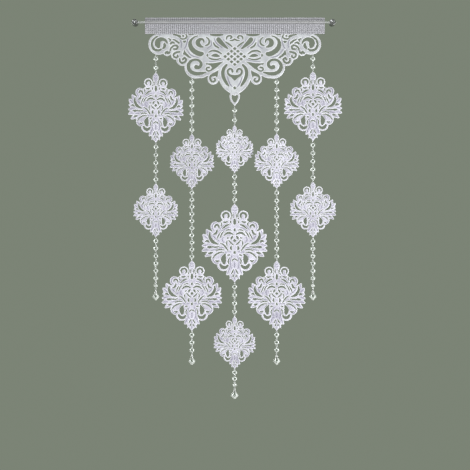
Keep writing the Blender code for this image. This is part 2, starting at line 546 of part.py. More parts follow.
def build_band():
    """The heading: one strip folded round the rod, with its header above and its flap below."""
    outer = POCKET_RADIUS + BAND_LAYER
    front = -BAND_LAYER - SHEET / 2 - SEAT
    back = -SHEET / 2 - SEAT
    hem = -0.0124
    waist = 0.0058
    fold = [math.radians(angle) for angle in range(60, -61, -20)]
    profile = [(-BAND_LAYER, BAND_TOP), (-BAND_LAYER, waist)]
    profile += [(-outer * math.cos(angle), outer * math.sin(angle)) for angle in fold]
    profile += [(front, -waist), (front, VALANCE_TOP), (back, VALANCE_TOP), (back, hem)]
    profile += [(back + BAND_LAYER, hem), (back + BAND_LAYER, -waist)]
    profile += [(outer * math.cos(angle), outer * math.sin(angle)) for angle in reversed(fold)]
    profile += [(BAND_LAYER, waist), (BAND_LAYER, BAND_TOP)]
    sides = 16
    turns = [2 * math.pi * i / sides for i in range(sides)]
    pocket = [(POCKET_RADIUS * math.cos(turn), POCKET_RADIUS * math.sin(turn)) for turn in turns]
    loops = [np.array(profile), np.array(pocket)]
    length = (BAND_RIGHT - BAND_LEFT, 0.0, 0.0)
    mesh = extruded("heading_band", loops, lambda y, z: (BAND_LEFT, y, z), length)
    add_object("heading_band", mesh, "stone_mesh")


def round_bar(name, radius, length, sides, axis):
    """A closed round bar centred on its origin along X or Y."""
    mesh = bpy.data.meshes.new(name)
    model = bmesh.new()
    turned = Matrix.Rotation(math.pi / 2, 4, "Y" if axis == "X" else "X")
    bmesh.ops.create_cone(
        model, cap_ends=True, segments=sides, radius1=radius, radius2=radius, depth=length, matrix=turned)
    model.to_mesh(mesh)
    model.free()
    mesh.shade_smooth()
    mesh.set_sharp_from_angle(angle=math.radians(40))
    return mesh


def build_rod():
    """The slim rod and the two round holders that it plugs into."""
    inner = HOLDER_RADIUS - SOCKET_DEPTH + SEAT
    left = HOLDER_LEFT + inner
    right = HOLDER_RIGHT - inner
    rod = add_object("rod", round_bar("rod", ROD_RADIUS, right - left, 16, "X"), "chrome")
    rod.location.x = (left + right) / 2
    depth = HOLDER_BACK - HOLDER_FRONT
    for name, x, side in (("holder_left", HOLDER_LEFT, 1), ("holder_right", HOLDER_RIGHT, -1)):
        holder = add_object(name, round_bar(name, HOLDER_RADIUS, depth, 32, "Y"), "chrome")
        holder.location = (x, (HOLDER_FRONT + HOLDER_BACK) / 2, 0.0)
        reach = 2 * HOLDER_RADIUS
        bar = round_bar("socket", ROD_RADIUS + SEAT, reach, 16, "X")
        cutter = add_object(name + "_socket", bar, "chrome")
        cutter.location.x = x + side * (HOLDER_RADIUS - SOCKET_DEPTH + reach / 2)
        cutter.hide_render = True
        cutter.display_type = "WIRE"
        socket = holder.modifiers.new("socket", "BOOLEAN")
        socket.object = cutter
        socket.operation = "DIFFERENCE"


def build_strand(name, x, top, bottom, beads):
    """A length of beads on wire links, from its top end down to its bottom end."""
    pitch = (top - bottom) / beads
    sections = [ring(top, LINK_HALF, LINK_HALF, 4)]
    for i in range(beads):
        middle = top - (i + 0.5) * pitch
        sections += [
            ring(middle + BEAD_HALF, LINK_HALF, LINK_HALF, 4),
            ring(middle + BEAD_SHOULDER, BEAD_HALF, BEAD_DEPTH, 4),
            ring(middle - BEAD_SHOULDER, BEAD_HALF, BEAD_DEPTH, 4),
            ring(middle - BEAD_HALF, LINK_HALF, LINK_HALF, 4),
        ]
    sections.append(ring(bottom, LINK_HALF, LINK_HALF, 4))
    strand = add_object(name, loft(name, sections), "clear_glass")
    strand.location.x = x


def build_drop(name, x, top, half_width):
    """A glass drop that hangs from the last bead."""
    half_depth = half_width * 0.62
    levels = ((0.0, 0.10), (0.10, 0.16), (0.45, 0.72), (0.72, 1.0), (0.90, 0.62), (1.0, 0.18))
    sections = [
        ring(top - DROP_LENGTH * down, half_width * share, half_depth * share, 8) for down, share in levels]
    drop = add_object(name, loft(name, sections), "clear_glass")
    drop.location.x = x


def edge_under(outline, x):
    """Height of the lowest point of an outline that stands over a given x."""
    ends = np.roll(outline, -1, axis=0)
    heights = []
    for (x0, z0), (x1, z1) in zip(outline, ends):
        if (x0 <= x) != (x1 <= x):
            heights.append(z0 + (z1 - z0) * (x - x0) / (x1 - x0))
    return min(heights)


def build_strings(valance_outline, tips):
    """The bead lengths between the valance, the medallions and the drops."""
    for string, (x, beads, drop_depth, drop_half_width) in STRINGS.items():
        starts = [edge_under(valance_outline, x)] + [bottom for top, bottom in tips[string]]
        ends = [top for top, bottom in tips[string]] + [-drop_depth]
        for i, (start, end, count) in enumerate(zip(starts, ends, beads)):
            build_strand(f"beads_{string}_{i + 1}", x, start - SEAT, end + SEAT, count)
        build_drop(f"drop_{string}", x, -drop_depth, drop_half_width)


def main():
    for old in list(bpy.data.objects):
        bpy.data.objects.remove(old, do_unlink=True)
    build_rod()
    build_band()
    outline = build_valance()
    build_strings(outline, build_medallions())


main()
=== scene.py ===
"""Looks of a window hanging: a cut-cloth valance on a slim rod, with bead strings,
cut-cloth medallions and glass drops.

It is laid out as an add-on and run as a script, round the hanging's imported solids. Metres,
+Z up, front facing -Y. The valance and the medallions are drawn on squared paper. In every
drawing table u is the distance out from the centre line and v is the depth below the top,
both in squares.
"""

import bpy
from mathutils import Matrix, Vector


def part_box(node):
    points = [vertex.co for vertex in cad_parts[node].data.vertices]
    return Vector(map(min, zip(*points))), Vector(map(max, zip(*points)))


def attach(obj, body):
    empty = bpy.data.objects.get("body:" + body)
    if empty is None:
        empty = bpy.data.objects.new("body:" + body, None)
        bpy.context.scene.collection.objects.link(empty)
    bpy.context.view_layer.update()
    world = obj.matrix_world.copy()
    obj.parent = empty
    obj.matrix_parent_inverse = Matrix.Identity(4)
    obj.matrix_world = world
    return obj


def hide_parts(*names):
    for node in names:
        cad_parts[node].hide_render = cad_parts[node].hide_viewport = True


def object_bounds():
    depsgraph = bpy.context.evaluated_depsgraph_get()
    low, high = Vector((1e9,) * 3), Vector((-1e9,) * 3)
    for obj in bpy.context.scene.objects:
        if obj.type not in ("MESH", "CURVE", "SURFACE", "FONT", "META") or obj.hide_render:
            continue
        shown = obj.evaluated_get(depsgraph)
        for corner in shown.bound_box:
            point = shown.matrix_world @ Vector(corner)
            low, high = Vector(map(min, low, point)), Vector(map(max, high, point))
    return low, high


bl_info = {
    "name": "Openwork Window Hanging",
    "version": (1, 0, 0),
    "blender": (4, 5, 0),
    "location": "3D View > Sidebar > Hanging",
    "description": "Finishes a cut-cloth valance on its rod, with bead strings, medallions and glass drops",
    "category": "Object",
}

import math
import random

import bpy
import numpy as np
from bpy.props import FloatProperty, FloatVectorProperty, PointerProperty
from bpy.types import Operator, Panel, PropertyGroup
from mathutils import Matrix, Vector
from mathutils.geometry import delaunay_2d_cdt

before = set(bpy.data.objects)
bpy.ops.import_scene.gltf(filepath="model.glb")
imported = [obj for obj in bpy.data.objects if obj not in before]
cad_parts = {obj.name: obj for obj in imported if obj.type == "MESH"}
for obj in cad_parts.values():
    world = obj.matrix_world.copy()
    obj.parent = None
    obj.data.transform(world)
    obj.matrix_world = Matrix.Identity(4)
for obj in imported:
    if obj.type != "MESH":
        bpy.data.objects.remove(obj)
CAD_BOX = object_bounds()

PHOTO_SIDE = 470              # the picture's width and height in pixels
PHOTO_ROD = (234.7, 22.4)     # where the middle of the rod is in it
METRES_PER_PIXEL = 0.0028

# Half the width of the squared paper, its top and its bottom
VALANCE_PAPER = (88.0, -3.0, 73.0)
MEDALLION_PAPER = (35.0, -1.0, 82.0)

VALANCE_BODY = (
    (79, -2), (79, 3), (76, 12), (67.6, 19), (58.9, 22), (52, 27), (38.8, 36), (30, 36),
    (21.4, 46), (15, 46), (11.5, 50.5), (7, 54), (-1, 59), (-1, -2),
)
# Scroll, u, v, radius of the round of cloth it is cut in
VALANCE_ROUNDS = (
    ("end", 76.1, 10.1, 10.4),
    ("curl a", 67.6, 17.9, 4.0),
    ("curl b", 58.9, 20.4, 5.1),
    ("curl c", 52.2, 25.3, 6.4),
    ("low", 38.8, 32.8, 11.6),
    ("foot", 21.6, 44.9, 5.6),
    ("onion", 8.0, 41.0, 8.6),
)
# Ribbon, then its stations: u, v, width
VALANCE_RIBBONS = (
    ("under the low scroll", (38.8, 42.5, 3.4), (32.5, 42.2, 3.4), (27.0, 40.0, 3.4), (24.0, 43.0, 3.4)),
    ("onion rim", (15.0, 34.0, 3.0), (15.4, 40.0, 3.0), (13.4, 47.5, 3.0), (8.6, 54.2, 3.2),
     (0.0, 59.4, 4.2)),
    ("onion leaf", (10.0, 40.0, 6.0), (6.5, 49.0, 7.0), (2.5, 55.0, 6.0), (0.0, 57.0, 5.0)),
    ("heart loop", (0.0, 59.0, 3.0), (2.6, 59.6, 2.2), (4.3, 61.6, 2.0), (3.2, 66.4, 1.9), (0.0, 70.4, 1.8)),
)
# Slot, then its stations: u, v, width
VALANCE_SLOTS = (
    ("end outer", (77.4, 2.1, 1.0), (81.6, 5.4, 1.5), (83.0, 10.4, 1.7), (80.8, 15.0, 2.0),
     (76.2, 16.2, 1.8), (73.8, 14.9, 1.2)),
    ("end inner", (67.6, 9.0, 0.9), (69.4, 6.2, 2.0), (73.0, 4.9, 3.2), (76.7, 6.6, 4.6),
     (77.3, 9.8, 5.2), (76.2, 12.5, 2.6)),
    ("end stem", (70.4, 9.2, 1.2), (70.1, 11.6, 2.4), (71.6, 14.1, 1.5)),
    ("curl a", (69.4, 18.9, 1.6), (67.9, 17.4, 1.3), (67.0, 18.9, 1.9), (65.3, 18.2, 1.7)),
    ("hook", (64.7, 16.4, 1.0), (63.8, 13.9, 1.3), (61.3, 11.7, 1.4), (58.6, 11.2, 1.5),
     (57.0, 12.8, 1.5), (58.3, 14.7, 1.6), (61.4, 14.8, 1.1)),
    ("hook upper", (61.8, 5.0, 0.7), (59.0, 6.5, 1.4), (56.0, 8.7, 1.5)),
    ("hook middle", (64.2, 9.4, 1.6), (62.6, 8.2, 1.7), (60.2, 8.9, 0.9)),
    ("hook outer", (66.4, 4.4, 0.8), (64.4, 5.6, 1.2), (65.0, 7.0, 0.7)),
    ("curl b", (55.2, 17.6, 1.2), (58.2, 18.1, 1.5), (60.8, 19.4, 1.4), (61.2, 21.7, 1.3),
     (59.2, 23.4, 1.3), (57.2, 22.4, 1.4), (57.4, 21.0, 1.0)),
    ("curl c", (55.3, 24.3, 1.0), (55.0, 27.0, 1.5), (52.8, 28.8, 1.7), (50.0, 27.8, 1.7),
     (48.7, 25.4, 1.6), (50.4, 23.7, 1.6), (51.8, 25.2, 1.5)),
    ("top curl eye", (51.9, 1.5, 1.3), (51.6, 1.9, 1.5)),
    ("top curl", (48.8, 0.6, 0.8), (47.9, 2.4, 1.2), (49.6, 4.3, 1.2), (52.2, 4.8, 1.1), (54.4, 4.2, 0.6)),
    ("top gap outer", (61.6, 0.5, 0.6), (58.0, 1.0, 1.3), (55.2, 2.1, 2.2), (55.0, 2.9, 1.0)),
    ("top seed", (49.3, 7.0, 1.0), (50.5, 7.5, 2.0), (51.4, 7.0, 0.8)),
    ("top gap middle", (41.4, 0.2, 0.4), (44.2, 0.2, 0.8), (46.0, 0.3, 0.5)),
    ("upper sweep", (37.2, 1.7, 0.6), (40.8, 3.1, 1.1), (43.9, 6.2, 2.2), (44.7, 10.4, 3.6),
     (42.7, 15.0, 4.4), (38.6, 18.3, 4.4), (34.6, 19.8, 4.4), (32.6, 19.5, 3.0)),
    ("upper inner", (30.8, 8.0, 0.9), (31.6, 5.6, 1.5), (34.4, 5.0, 2.4), (36.8, 7.2, 3.9),
     (36.5, 10.0, 4.0), (34.0, 12.1, 2.2), (31.8, 12.8, 1.0)),
    ("upper side", (28.4, 3.0, 0.6), (26.4, 4.8, 1.2), (25.5, 7.4, 1.4), (26.6, 10.2, 1.4),
     (29.2, 11.3, 0.9)),
    ("loop", (16.2, 5.4, 4.2), (14.6, 7.4, 4.2), (11.4, 10.6, 3.2), (7.2, 14.2, 1.2)),
    ("loop outer", (21.3, 8.6, 0.8), (19.4, 11.6, 1.5), (15.9, 13.7, 1.0)),
    ("loop inner", (9.0, 7.8, 0.8), (6.0, 9.8, 1.4), (2.8, 12.2, 0.9)),
    ("centre curl", (8.2, 4.9, 0.7), (7.5, 2.4, 1.1), (4.6, 1.5, 1.2), (2.9, 3.0, 1.2), (4.2, 4.2, 1.0)),
    ("centre bracket", (4.6, 6.4, 0.6), (2.2, 6.1, 1.1), (0.0, 4.9, 1.3)),
    ("top gap inner", (24.6, 0.5, 0.6), (20.8, 0.9, 1.6), (16.3, 1.0, 1.8), (11.8, 0.6, 0.7)),
    ("eye upper", (25.8, 18.0, 0.8), (22.4, 16.5, 1.3), (17.6, 17.1, 1.6), (13.2, 19.7, 0.6)),
    ("eye", (23.2, 21.5, 0.5), (19.2, 21.2, 3.0), (15.2, 22.1, 0.6)),
    ("eye lower", (25.8, 23.7, 0.9), (22.6, 25.0, 1.2), (18.0, 25.3, 1.0), (13.6, 24.0, 0.5)),
    ("eye corner", (27.2, 19.8, 0.5), (27.4, 21.2, 1.5), (27.0, 22.2, 0.6)),
    ("low scroll", (38.5, 32.9, 3.8), (36.0, 33.4, 2.6), (33.9, 31.2, 2.7), (34.2, 28.0, 2.2),
     (38.0, 25.6, 1.8), (43.0, 26.4, 2.1), (46.2, 30.2, 2.8), (45.9, 34.8, 3.2),
     (43.0, 38.2, 3.2), (38.4, 39.6, 3.2), (33.4, 39.2, 2.5), (29.0, 38.2, 0.8)),
    ("inner scroll", (25.7, 33.3, 1.5), (27.6, 33.5, 1.2), (28.4, 35.3, 1.2), (26.6, 36.9, 1.1),
     (23.6, 36.0, 1.1), (22.6, 34.6, 1.2)),
    ("foot scroll", (24.2, 41.8, 1.5), (24.7, 44.4, 1.6), (23.3, 47.0, 1.7), (20.9, 47.4, 1.5),
     (19.4, 45.8, 1.3), (20.5, 44.4, 1.3)),
    ("onion", (8.2, 30.8, 1.6), (10.6, 33.6, 2.5), (11.8, 37.2, 2.9), (11.7, 41.2, 3.0),
     (10.3, 45.4, 2.9), (8.0, 49.3, 2.2), (6.2, 51.8, 0.9)),
    ("heart", (2.2, 37.4, 1.6), (2.9, 35.3, 1.3), (5.2, 34.6, 1.4), (7.1, 36.7, 1.5),
     (6.5, 39.6, 1.5), (4.0, 41.6, 2.0), (0.0, 42.6, 2.8)),
    ("heart tip", (3.0, 42.6, 1.2), (0.0, 45.4, 1.6)),
)
# Opening, then its corners: u, v
VALANCE_OPENINGS = (
    ("spandrel", (50.7, 15.0), (48.8, 18.4), (46.0, 21.2), (42.6, 24.2), (45.8, 23.8), (48.2, 22.4),
     (50.0, 20.8), (52.0, 20.3), (51.2, 17.6)),
    ("wedge", (29.4, 28.8), (28.6, 30.7), (26.4, 30.6), (24.2, 31.6), (22.6, 33.6), (22.4, 36.2),
     (19.4, 34.4), (15.6, 31.2), (11.0, 27.2), (15.5, 28.0), (21.0, 29.0), (26.0, 29.1)),
    ("foot", (16.2, 35.8), (19.0, 37.6), (21.8, 38.8), (24.2, 40.4), (25.1, 42.4), (23.4, 43.0),
     (21.4, 42.2), (19.2, 42.0), (17.6, 43.4), (16.7, 40.0)),
    ("heart loop", (-1, 63.4), (0, 63.4), (1.3, 62.4), (3.0, 62.8), (2.6, 65.2), (0, 68.8), (-1, 68)),
)
VALANCE_SLOT_EASE = 0.28      # added to half the width of every slot
# Lattice of diamonds: how many a side, their pitch along u and v, the depth of its middle
LATTICE_SIDE = 4
LATTICE_PITCH_U = 3.2
LATTICE_PITCH_V = 2.65
LATTICE_MIDDLE = 22.3
LATTICE_DIAMOND = (2.1, 1.8)
# Diamond under the heart: u, v, half width, half height
HEART_DIAMOND = (0.0, 53.7, 2.0, 1.8)

MEDALLION_BODY = (
    (-1, 10), (2.6, 12), (3.4, 16), (7, 16.2), (12.4, 16.6), (14, 18.6), (19, 21), (24, 31), (27, 37),
    (26, 44), (25, 51), (20, 56), (14, 62), (8, 66), (6, 73), (2.6, 78), (-1, 79),
)
# Round of cloth, u, v, radius
MEDALLION_ROUNDS = (
    ("ring", 8.9, 12.4, 5.3),
    ("shoulder", 19.5, 23.5, 5.1),
    ("lobe", 17.4, 56.0, 6.5),
    ("bowl", 11.2, 62.7, 6.6),
)
MEDALLION_RIBBONS = (
    ("finial", (0, 0.3, 0.6), (0, 2.6, 3.4), (0, 5.8, 7.2), (0, 8.6, 6.4), (0, 12.0, 5.2), (0, 17.0, 7.0)),
    ("leaf 1", (22.0, 35.0, 10.0), (25.8, 30.8, 6.4), (28.2, 27.0, 1.9)),
    ("leaf 2", (23.0, 38.0, 10.0), (28.6, 35.0, 6.6), (31.7, 32.2, 2.2)),
    ("leaf 3", (24.0, 40.0, 8.0), (28.6, 39.0, 5.4), (31.6, 38.4, 2.4)),
    ("finger 1", (24.0, 43.0, 7.0), (29.0, 43.0, 4.8), (32.3, 43.2, 2.2)),
    ("finger 2", (24.0, 46.0, 7.0), (29.0, 47.0, 4.8), (32.3, 48.4, 2.2)),
    ("finger 3", (22.0, 49.0, 8.0), (26.4, 51.8, 5.0), (29.4, 53.9, 1.9)),
    ("tail leaf", (4.0, 67.0, 6.0), (6.2, 70.6, 4.2), (7.9, 72.8, 1.6)),
    ("tail", (0, 66, 9.0), (0, 73, 8.2), (0, 77.6, 4.0), (0, 80.6, 0.6)),
    ("tail side", (2.6, 73.0, 4.0), (4.9, 77.4, 0.8)),
)
MEDALLION_SLOTS = (
    ("ring", (6.8, 14.6, 0.9), (6.0, 12.4, 1.5), (6.8, 10.3, 1.7), (8.9, 9.5, 1.8), (11.0, 10.4, 1.8),
     (11.8, 12.5, 1.6), (11.0, 14.4, 1.0)),
    ("ring foot", (7.4, 18.4, 0.8), (9.4, 19.2, 1.5), (11.4, 18.8, 0.8)),
    ("neck", (0, 16.4, 1.8), (0, 19.4, 2.6), (0, 21.2, 1.2)),
    ("spear", (1.5, 10.4, 0.4), (1.7, 12.8, 0.6), (1.5, 14.6, 0.3)),
    ("eyelet", (3.9, 17.8, 0.7), (4.1, 19.2, 1.3)),
    ("arm", (5.6, 21.4, 0.8), (9.0, 22.8, 1.7), (12.4, 25.8, 0.8)),
    ("notch", (14.0, 19.4, 0.5), (13.2, 21.0, 0.9), (13.8, 22.8, 0.7)),
    ("shoulder", (15.8, 25.0, 1.0), (16.6, 22.4, 1.4), (18.9, 21.8, 1.4), (20.1, 23.8, 1.4)),
    ("elbow", (17.8, 27.4, 1.2), (19.0, 30.4, 1.8), (21.4, 31.6, 0.9)),
    ("long crescent", (25.2, 29.8, 0.9), (25.4, 34.0, 2.4), (22.4, 39.0, 3.0), (17.0, 41.6, 0.9)),
    ("thumb", (29.4, 38.6, 0.8), (27.6, 38.3, 1.9), (26.0, 39.4, 1.0)),
    ("palm", (27.6, 44.6, 0.8), (25.2, 44.6, 2.2), (22.9, 44.4, 1.0), (19.0, 44.7, 1.2), (15.4, 44.0, 0.5)),
    ("wrist", (26.4, 51.0, 0.8), (24.4, 50.8, 2.0), (22.4, 50.0, 0.6)),
    ("fan upper", (18.8, 48.2, 0.5), (14.8, 47.0, 1.1), (10.4, 47.6, 0.4)),
    ("fan lower", (22.4, 56.2, 0.5), (19.4, 52.4, 1.2), (14.8, 50.0, 1.1), (11.0, 50.1, 0.4)),
    ("lobe", (16.2, 58.5, 0.9), (17.6, 59.3, 1.5), (19.3, 58.6, 0.8)),
    ("hollow", (9.3, 51.5, 0.7), (10.6, 53.8, 2.8), (11.3, 57.0, 5.0), (10.8, 60.6, 3.0)),
    ("bowl", (7.1, 63.6, 1.6), (9.5, 65.6, 2.8), (12.6, 65.2, 3.2), (14.7, 62.6, 1.8)),
    ("bell", (5.0, 55.4, 0.5), (6.5, 58.6, 1.0), (6.0, 62.0, 0.5)),
    ("bell top", (0, 56.8, 0.9), (2.0, 57.6, 0.9), (2.8, 59.4, 0.3)),
    ("star", (0, 26.2, 1.4), (0, 27.6, 1.8)),
    ("brow", (1.6, 31.6, 0.8), (4.6, 30.1, 1.7), (8.0, 30.5, 1.7), (10.8, 32.8, 0.7)),
    ("brow upper", (3.4, 27.3, 0.4), (6.2, 26.8, 0.9), (9.2, 28.2, 0.4)),
    ("cheek", (1.9, 33.6, 0.8), (3.0, 35.0, 1.8), (3.6, 36.6, 0.8)),
    ("cheek side", (5.8, 35.0, 0.6), (7.4, 35.4, 1.1)),
    ("cross", (1.4, 42.2, 0.6), (3.8, 40.4, 1.2), (6.0, 37.6, 0.6)),
    ("cross side", (7.4, 38.2, 0.4), (8.3, 40.6, 1.0), (7.2, 43.8, 0.4)),
    ("seed", (3.4, 43.8, 0.9), (3.9, 45.8, 1.8), (3.2, 47.6, 0.7)),
    ("rib", (14.4, 40.6, 0.5), (11.2, 42.4, 1.2), (8.2, 46.0, 1.2), (6.6, 49.0, 0.4)),
    ("rib upper", (14.8, 35.2, 0.4), (13.2, 31.2, 1.0), (11.0, 28.6, 0.5)),
    ("rib side", (18.2, 37.0, 0.4), (16.4, 32.8, 1.0), (14.6, 29.6, 0.5)),
    ("drop", (0, 49.2, 1.4), (0, 50.4, 2.2)),
    ("bud", (5.0, 52.6, 0.8), (6.8, 53.0, 1.3)),
    ("tail slit", (1.0, 67.6, 0.5), (2.2, 70.0, 1.1), (3.4, 72.0, 0.5)),
    ("tail seed", (1.5, 73.2, 0.9), (1.5, 74.8, 1.2)),
)
MEDALLION_SLOT_EASE = 0.18
# Slots stay finer in the medallions narrower than this, in metres
SMALL_MEDALLION = 0.14
SMALL_SLOT_EASE = 0.04
# Diamond in the middle: u, v, half width, half height
MEDALLION_DIAMOND = (0.0, 38.0, 2.0, 2.0)
# Vein pressed into a medallion's leaves, then its stations: u, v, width
MEDALLION_VEINS = (
    ("finial top", (0.0, 4.6, 0.4), (1.2, 3.8, 0.5), (2.4, 3.6, 0.3)),
    ("finial middle", (0.0, 7.4, 0.4), (1.5, 6.4, 0.5), (3.2, 6.4, 0.3)),
    ("finial foot", (1.1, 8.6, 0.5), (0.7, 10.4, 0.6), (0.8, 12.2, 0.4)),
    ("leaf 1", (23.5, 33.2, 0.7), (26.6, 30.6, 0.9), (27.6, 28.2, 0.6)),
    ("leaf 2", (26.6, 36.6, 0.7), (29.2, 34.6, 0.9), (30.8, 32.8, 0.6)),
    ("between leaves", (27.0, 33.0, 0.7), (28.4, 31.2, 1.2), (28.9, 29.6, 1.0)),
    ("finger 1", (27.4, 42.2, 0.7), (30.0, 42.6, 0.9), (31.8, 43.0, 0.6)),
    ("finger 2", (26.8, 47.8, 0.7), (29.4, 47.4, 0.9), (31.8, 48.2, 0.6)),
    ("finger 3", (23.6, 53.2, 0.7), (26.4, 52.8, 0.9), (28.8, 53.6, 0.6)),
    ("shoulder rim", (17.0, 19.4, 0.6), (21.0, 20.2, 0.9), (22.8, 24.0, 0.9), (21.4, 27.6, 0.6)),
    ("lobe rim", (20.4, 51.4, 0.6), (22.2, 55.6, 0.9), (20.4, 60.2, 0.9), (17.2, 61.4, 0.6)),
    ("chest", (15.8, 38.4, 0.6), (20.0, 35.4, 1.0), (22.2, 31.8, 0.6)),
    ("arm outer", (8.0, 20.8, 0.6), (12.0, 23.0, 0.9), (14.6, 26.4, 0.6)),
    ("collar", (5.2, 24.2, 0.6), (9.4, 25.6, 0.9), (12.6, 28.4, 0.6)),
    ("temple", (11.6, 34.2, 0.6), (12.6, 37.4, 0.9), (10.8, 40.0, 0.6)),
    ("waist", (3.6, 49.6, 0.6), (8.2, 49.6, 0.9), (12.4, 52.2, 1.0), (14.6, 55.6, 0.6)),
    ("fan middle", (10.4, 45.6, 0.6), (14.6, 45.2, 0.9), (19.8, 47.2, 0.9), (24.6, 48.0, 0.6)),
    ("bell side", (2.8, 53.4, 0.6), (4.2, 57.6, 0.9), (4.4, 63.8, 0.9), (3.0, 66.6, 0.6)),
    ("bell heart", (0.0, 60.6, 1.0), (0.0, 65.4, 1.2)),
    ("bell foot", (5.0, 65.8, 0.6), (6.0, 69.0, 0.9), (7.2, 71.6, 0.6)),
    ("tail", (0.0, 69.0, 0.8), (0.0, 74.0, 1.1), (0.0, 78.0, 0.7)),
    ("tail side", (2.4, 73.8, 0.7), (3.4, 76.2, 0.9)),
)
# Vein pressed into the valance's ribbons
VALANCE_VEINS = (
    ("onion leaf", (7.6, 42.2, 0.7), (5.4, 48.6, 1.1), (2.6, 52.6, 0.7)),
    ("shoulder", (46.8, 1.6, 0.6), (47.6, 8.0, 1.0), (49.2, 12.6, 1.0), (52.0, 16.0, 0.6)),
    ("shoulder side", (55.6, 4.2, 0.6), (53.6, 8.6, 1.0), (53.6, 13.4, 0.7)),
    ("sweep foot", (48.4, 15.0, 0.6), (43.6, 21.0, 1.0), (36.2, 23.8, 0.7)),
    ("loop side", (11.6, 5.0, 0.6), (8.8, 9.6, 1.0), (5.4, 13.0, 0.6)),
    ("wing", (20.6, 4.2, 0.6), (18.0, 9.4, 1.0), (12.4, 13.6, 0.7)),
    ("wing outer", (24.0, 6.0, 0.6), (23.4, 11.0, 1.0), (27.6, 14.4, 0.7)),
    ("wedge side", (25.6, 27.4, 0.6), (19.2, 27.0, 0.9), (12.0, 25.4, 0.6)),
)
VEIN_SLOPE = 0.3              # how far a vein's sides slope in from its edge
VEIN_EASE = 0.15              # added to half the width of every vein

# Medallion, its turn in degrees, how far its sides curl forward in metres
MEDALLIONS = (
    ("outer_left_upper", 12.0, 0.0030),
    ("outer_left_lower", 4.0, -0.0015),
    ("outer_right_upper", -3.0, 0.0024),
    ("outer_right_lower", -5.0, 0.0012),
    ("inner_left_upper", -8.0, -0.0018),
    ("inner_left_lower", 3.0, 0.0026),
    ("inner_right_upper", 7.0, 0.0014),
    ("inner_right_lower", -7.0, 0.0020),
    ("centre_upper", 11.0, 0.0010),
    ("centre_middle", 2.0, -0.0022),
    ("centre_lower", -11.0, 0.0016),
)
# String, the beads in each of its lengths from the top
STRINGS = (
    ("outer_left", (2, 5, 7)),
    ("outer_right", (2, 5, 7)),
    ("inner_left", (7, 10, 3)),
    ("inner_right", (7, 9, 3)),
    ("centre", (2, 4, 4, 3)),
)
# Strings whose last bead, just over the drop, is a small flat one
SMALL_LAST_BEADS = ("outer_left", "outer_right", "centre")


def colour_property(name, description, default):
    """A colour in the panel."""
    return FloatVectorProperty(
        name=name, description=description, subtype="COLOR", size=3, min=0.0, max=1.0, default=default)


def length_property(name, description, default, least, most):
    """A length in the panel."""
    return FloatProperty(
        name=name, description=description, unit="LENGTH", default=default, min=least, max=most)


class ClothSettings(PropertyGroup):
    """The cut cloth of the valance and the medallions."""

    colour: colour_property("Colour", "Main colour of the cloth", (0.68, 0.66, 0.785))
    shade: colour_property("Shade", "Colour of its duller patches", (0.47, 0.45, 0.555))
    thread: length_property("Thread pitch", "Distance between the weave's threads", 0.0007, 0.0002, 0.004)
    thickness: length_property("Thickness", "Its thickness inside its cut edges", 0.0030, 0.0005, 0.004)


class HeadingSettings(PropertyGroup):
    """The band of stones round the rod."""

    colour: colour_property("Stone colour", "Colour of the stones", (0.560, 0.550, 0.610))
    pitch: length_property("Stone pitch", "Distance between two stones", 0.0055, 0.002, 0.02)
    stone: length_property("Stone width", "Width of a stone", 0.0048, 0.001, 0.02)
    satin: colour_property("Pocket colour", "Colour of the rod pocket's plain front", (0.40, 0.395, 0.42))
    pocket: length_property("Pocket half height", "Half the height of that front", 0.0048, 0.002, 0.02)


class BeadSettings(PropertyGroup):
    """The clear beads, their wire links and the drops."""

    colour: colour_property("Glass colour", "Colour of the clear beads and drops", (0.84, 0.87, 0.86))
    width: length_property("Bead width", "Width across a bead", 0.0134, 0.004, 0.03)
    wire: length_property("Wire", "Diameter of the link wire", 0.0009, 0.0003, 0.003)


class MetalSettings(PropertyGroup):
    """The rod and its holders."""

    colour: colour_property("Metal colour", "Colour of the bright metal", (0.74, 0.75, 0.77))
    rim: length_property("Rim", "Radius of a holder's rounded rim", 0.0014, 0.0003, 0.004)


class StageSettings(PropertyGroup):
    """The floor, the light and the camera."""

    distance: length_property("Camera distance", "From the camera to the cloth", 3.2, 0.5, 20.0)
    floor_drop: length_property("Floor drop", "From the lowest drop down to the floor", 0.42, 0.0, 3.0)
    background: colour_property("Background", "Colour of the even light all round", (0.20, 0.23, 0.18))


SETTINGS = (
    ("hanging_cloth", ClothSettings),
    ("hanging_heading", HeadingSettings),
    ("hanging_beads", BeadSettings),
    ("hanging_metal", MetalSettings),
    ("hanging_stage", StageSettings),
)


# Drawings and patterns

def odd_crossings(u, v, loop):
    """Which points have a ray that crosses the closed loop an odd number of times."""
    inside = np.zeros(u.shape, dtype=bool)
    for (u0, v0), (u1, v1) in zip(loop, np.roll(loop, -1, axis=0)):
        if v0 != v1:
            inside ^= ((v0 > v) != (v1 > v)) & (u < u0 + (v - v0) * (u1 - u0) / (v1 - v0))
    return inside


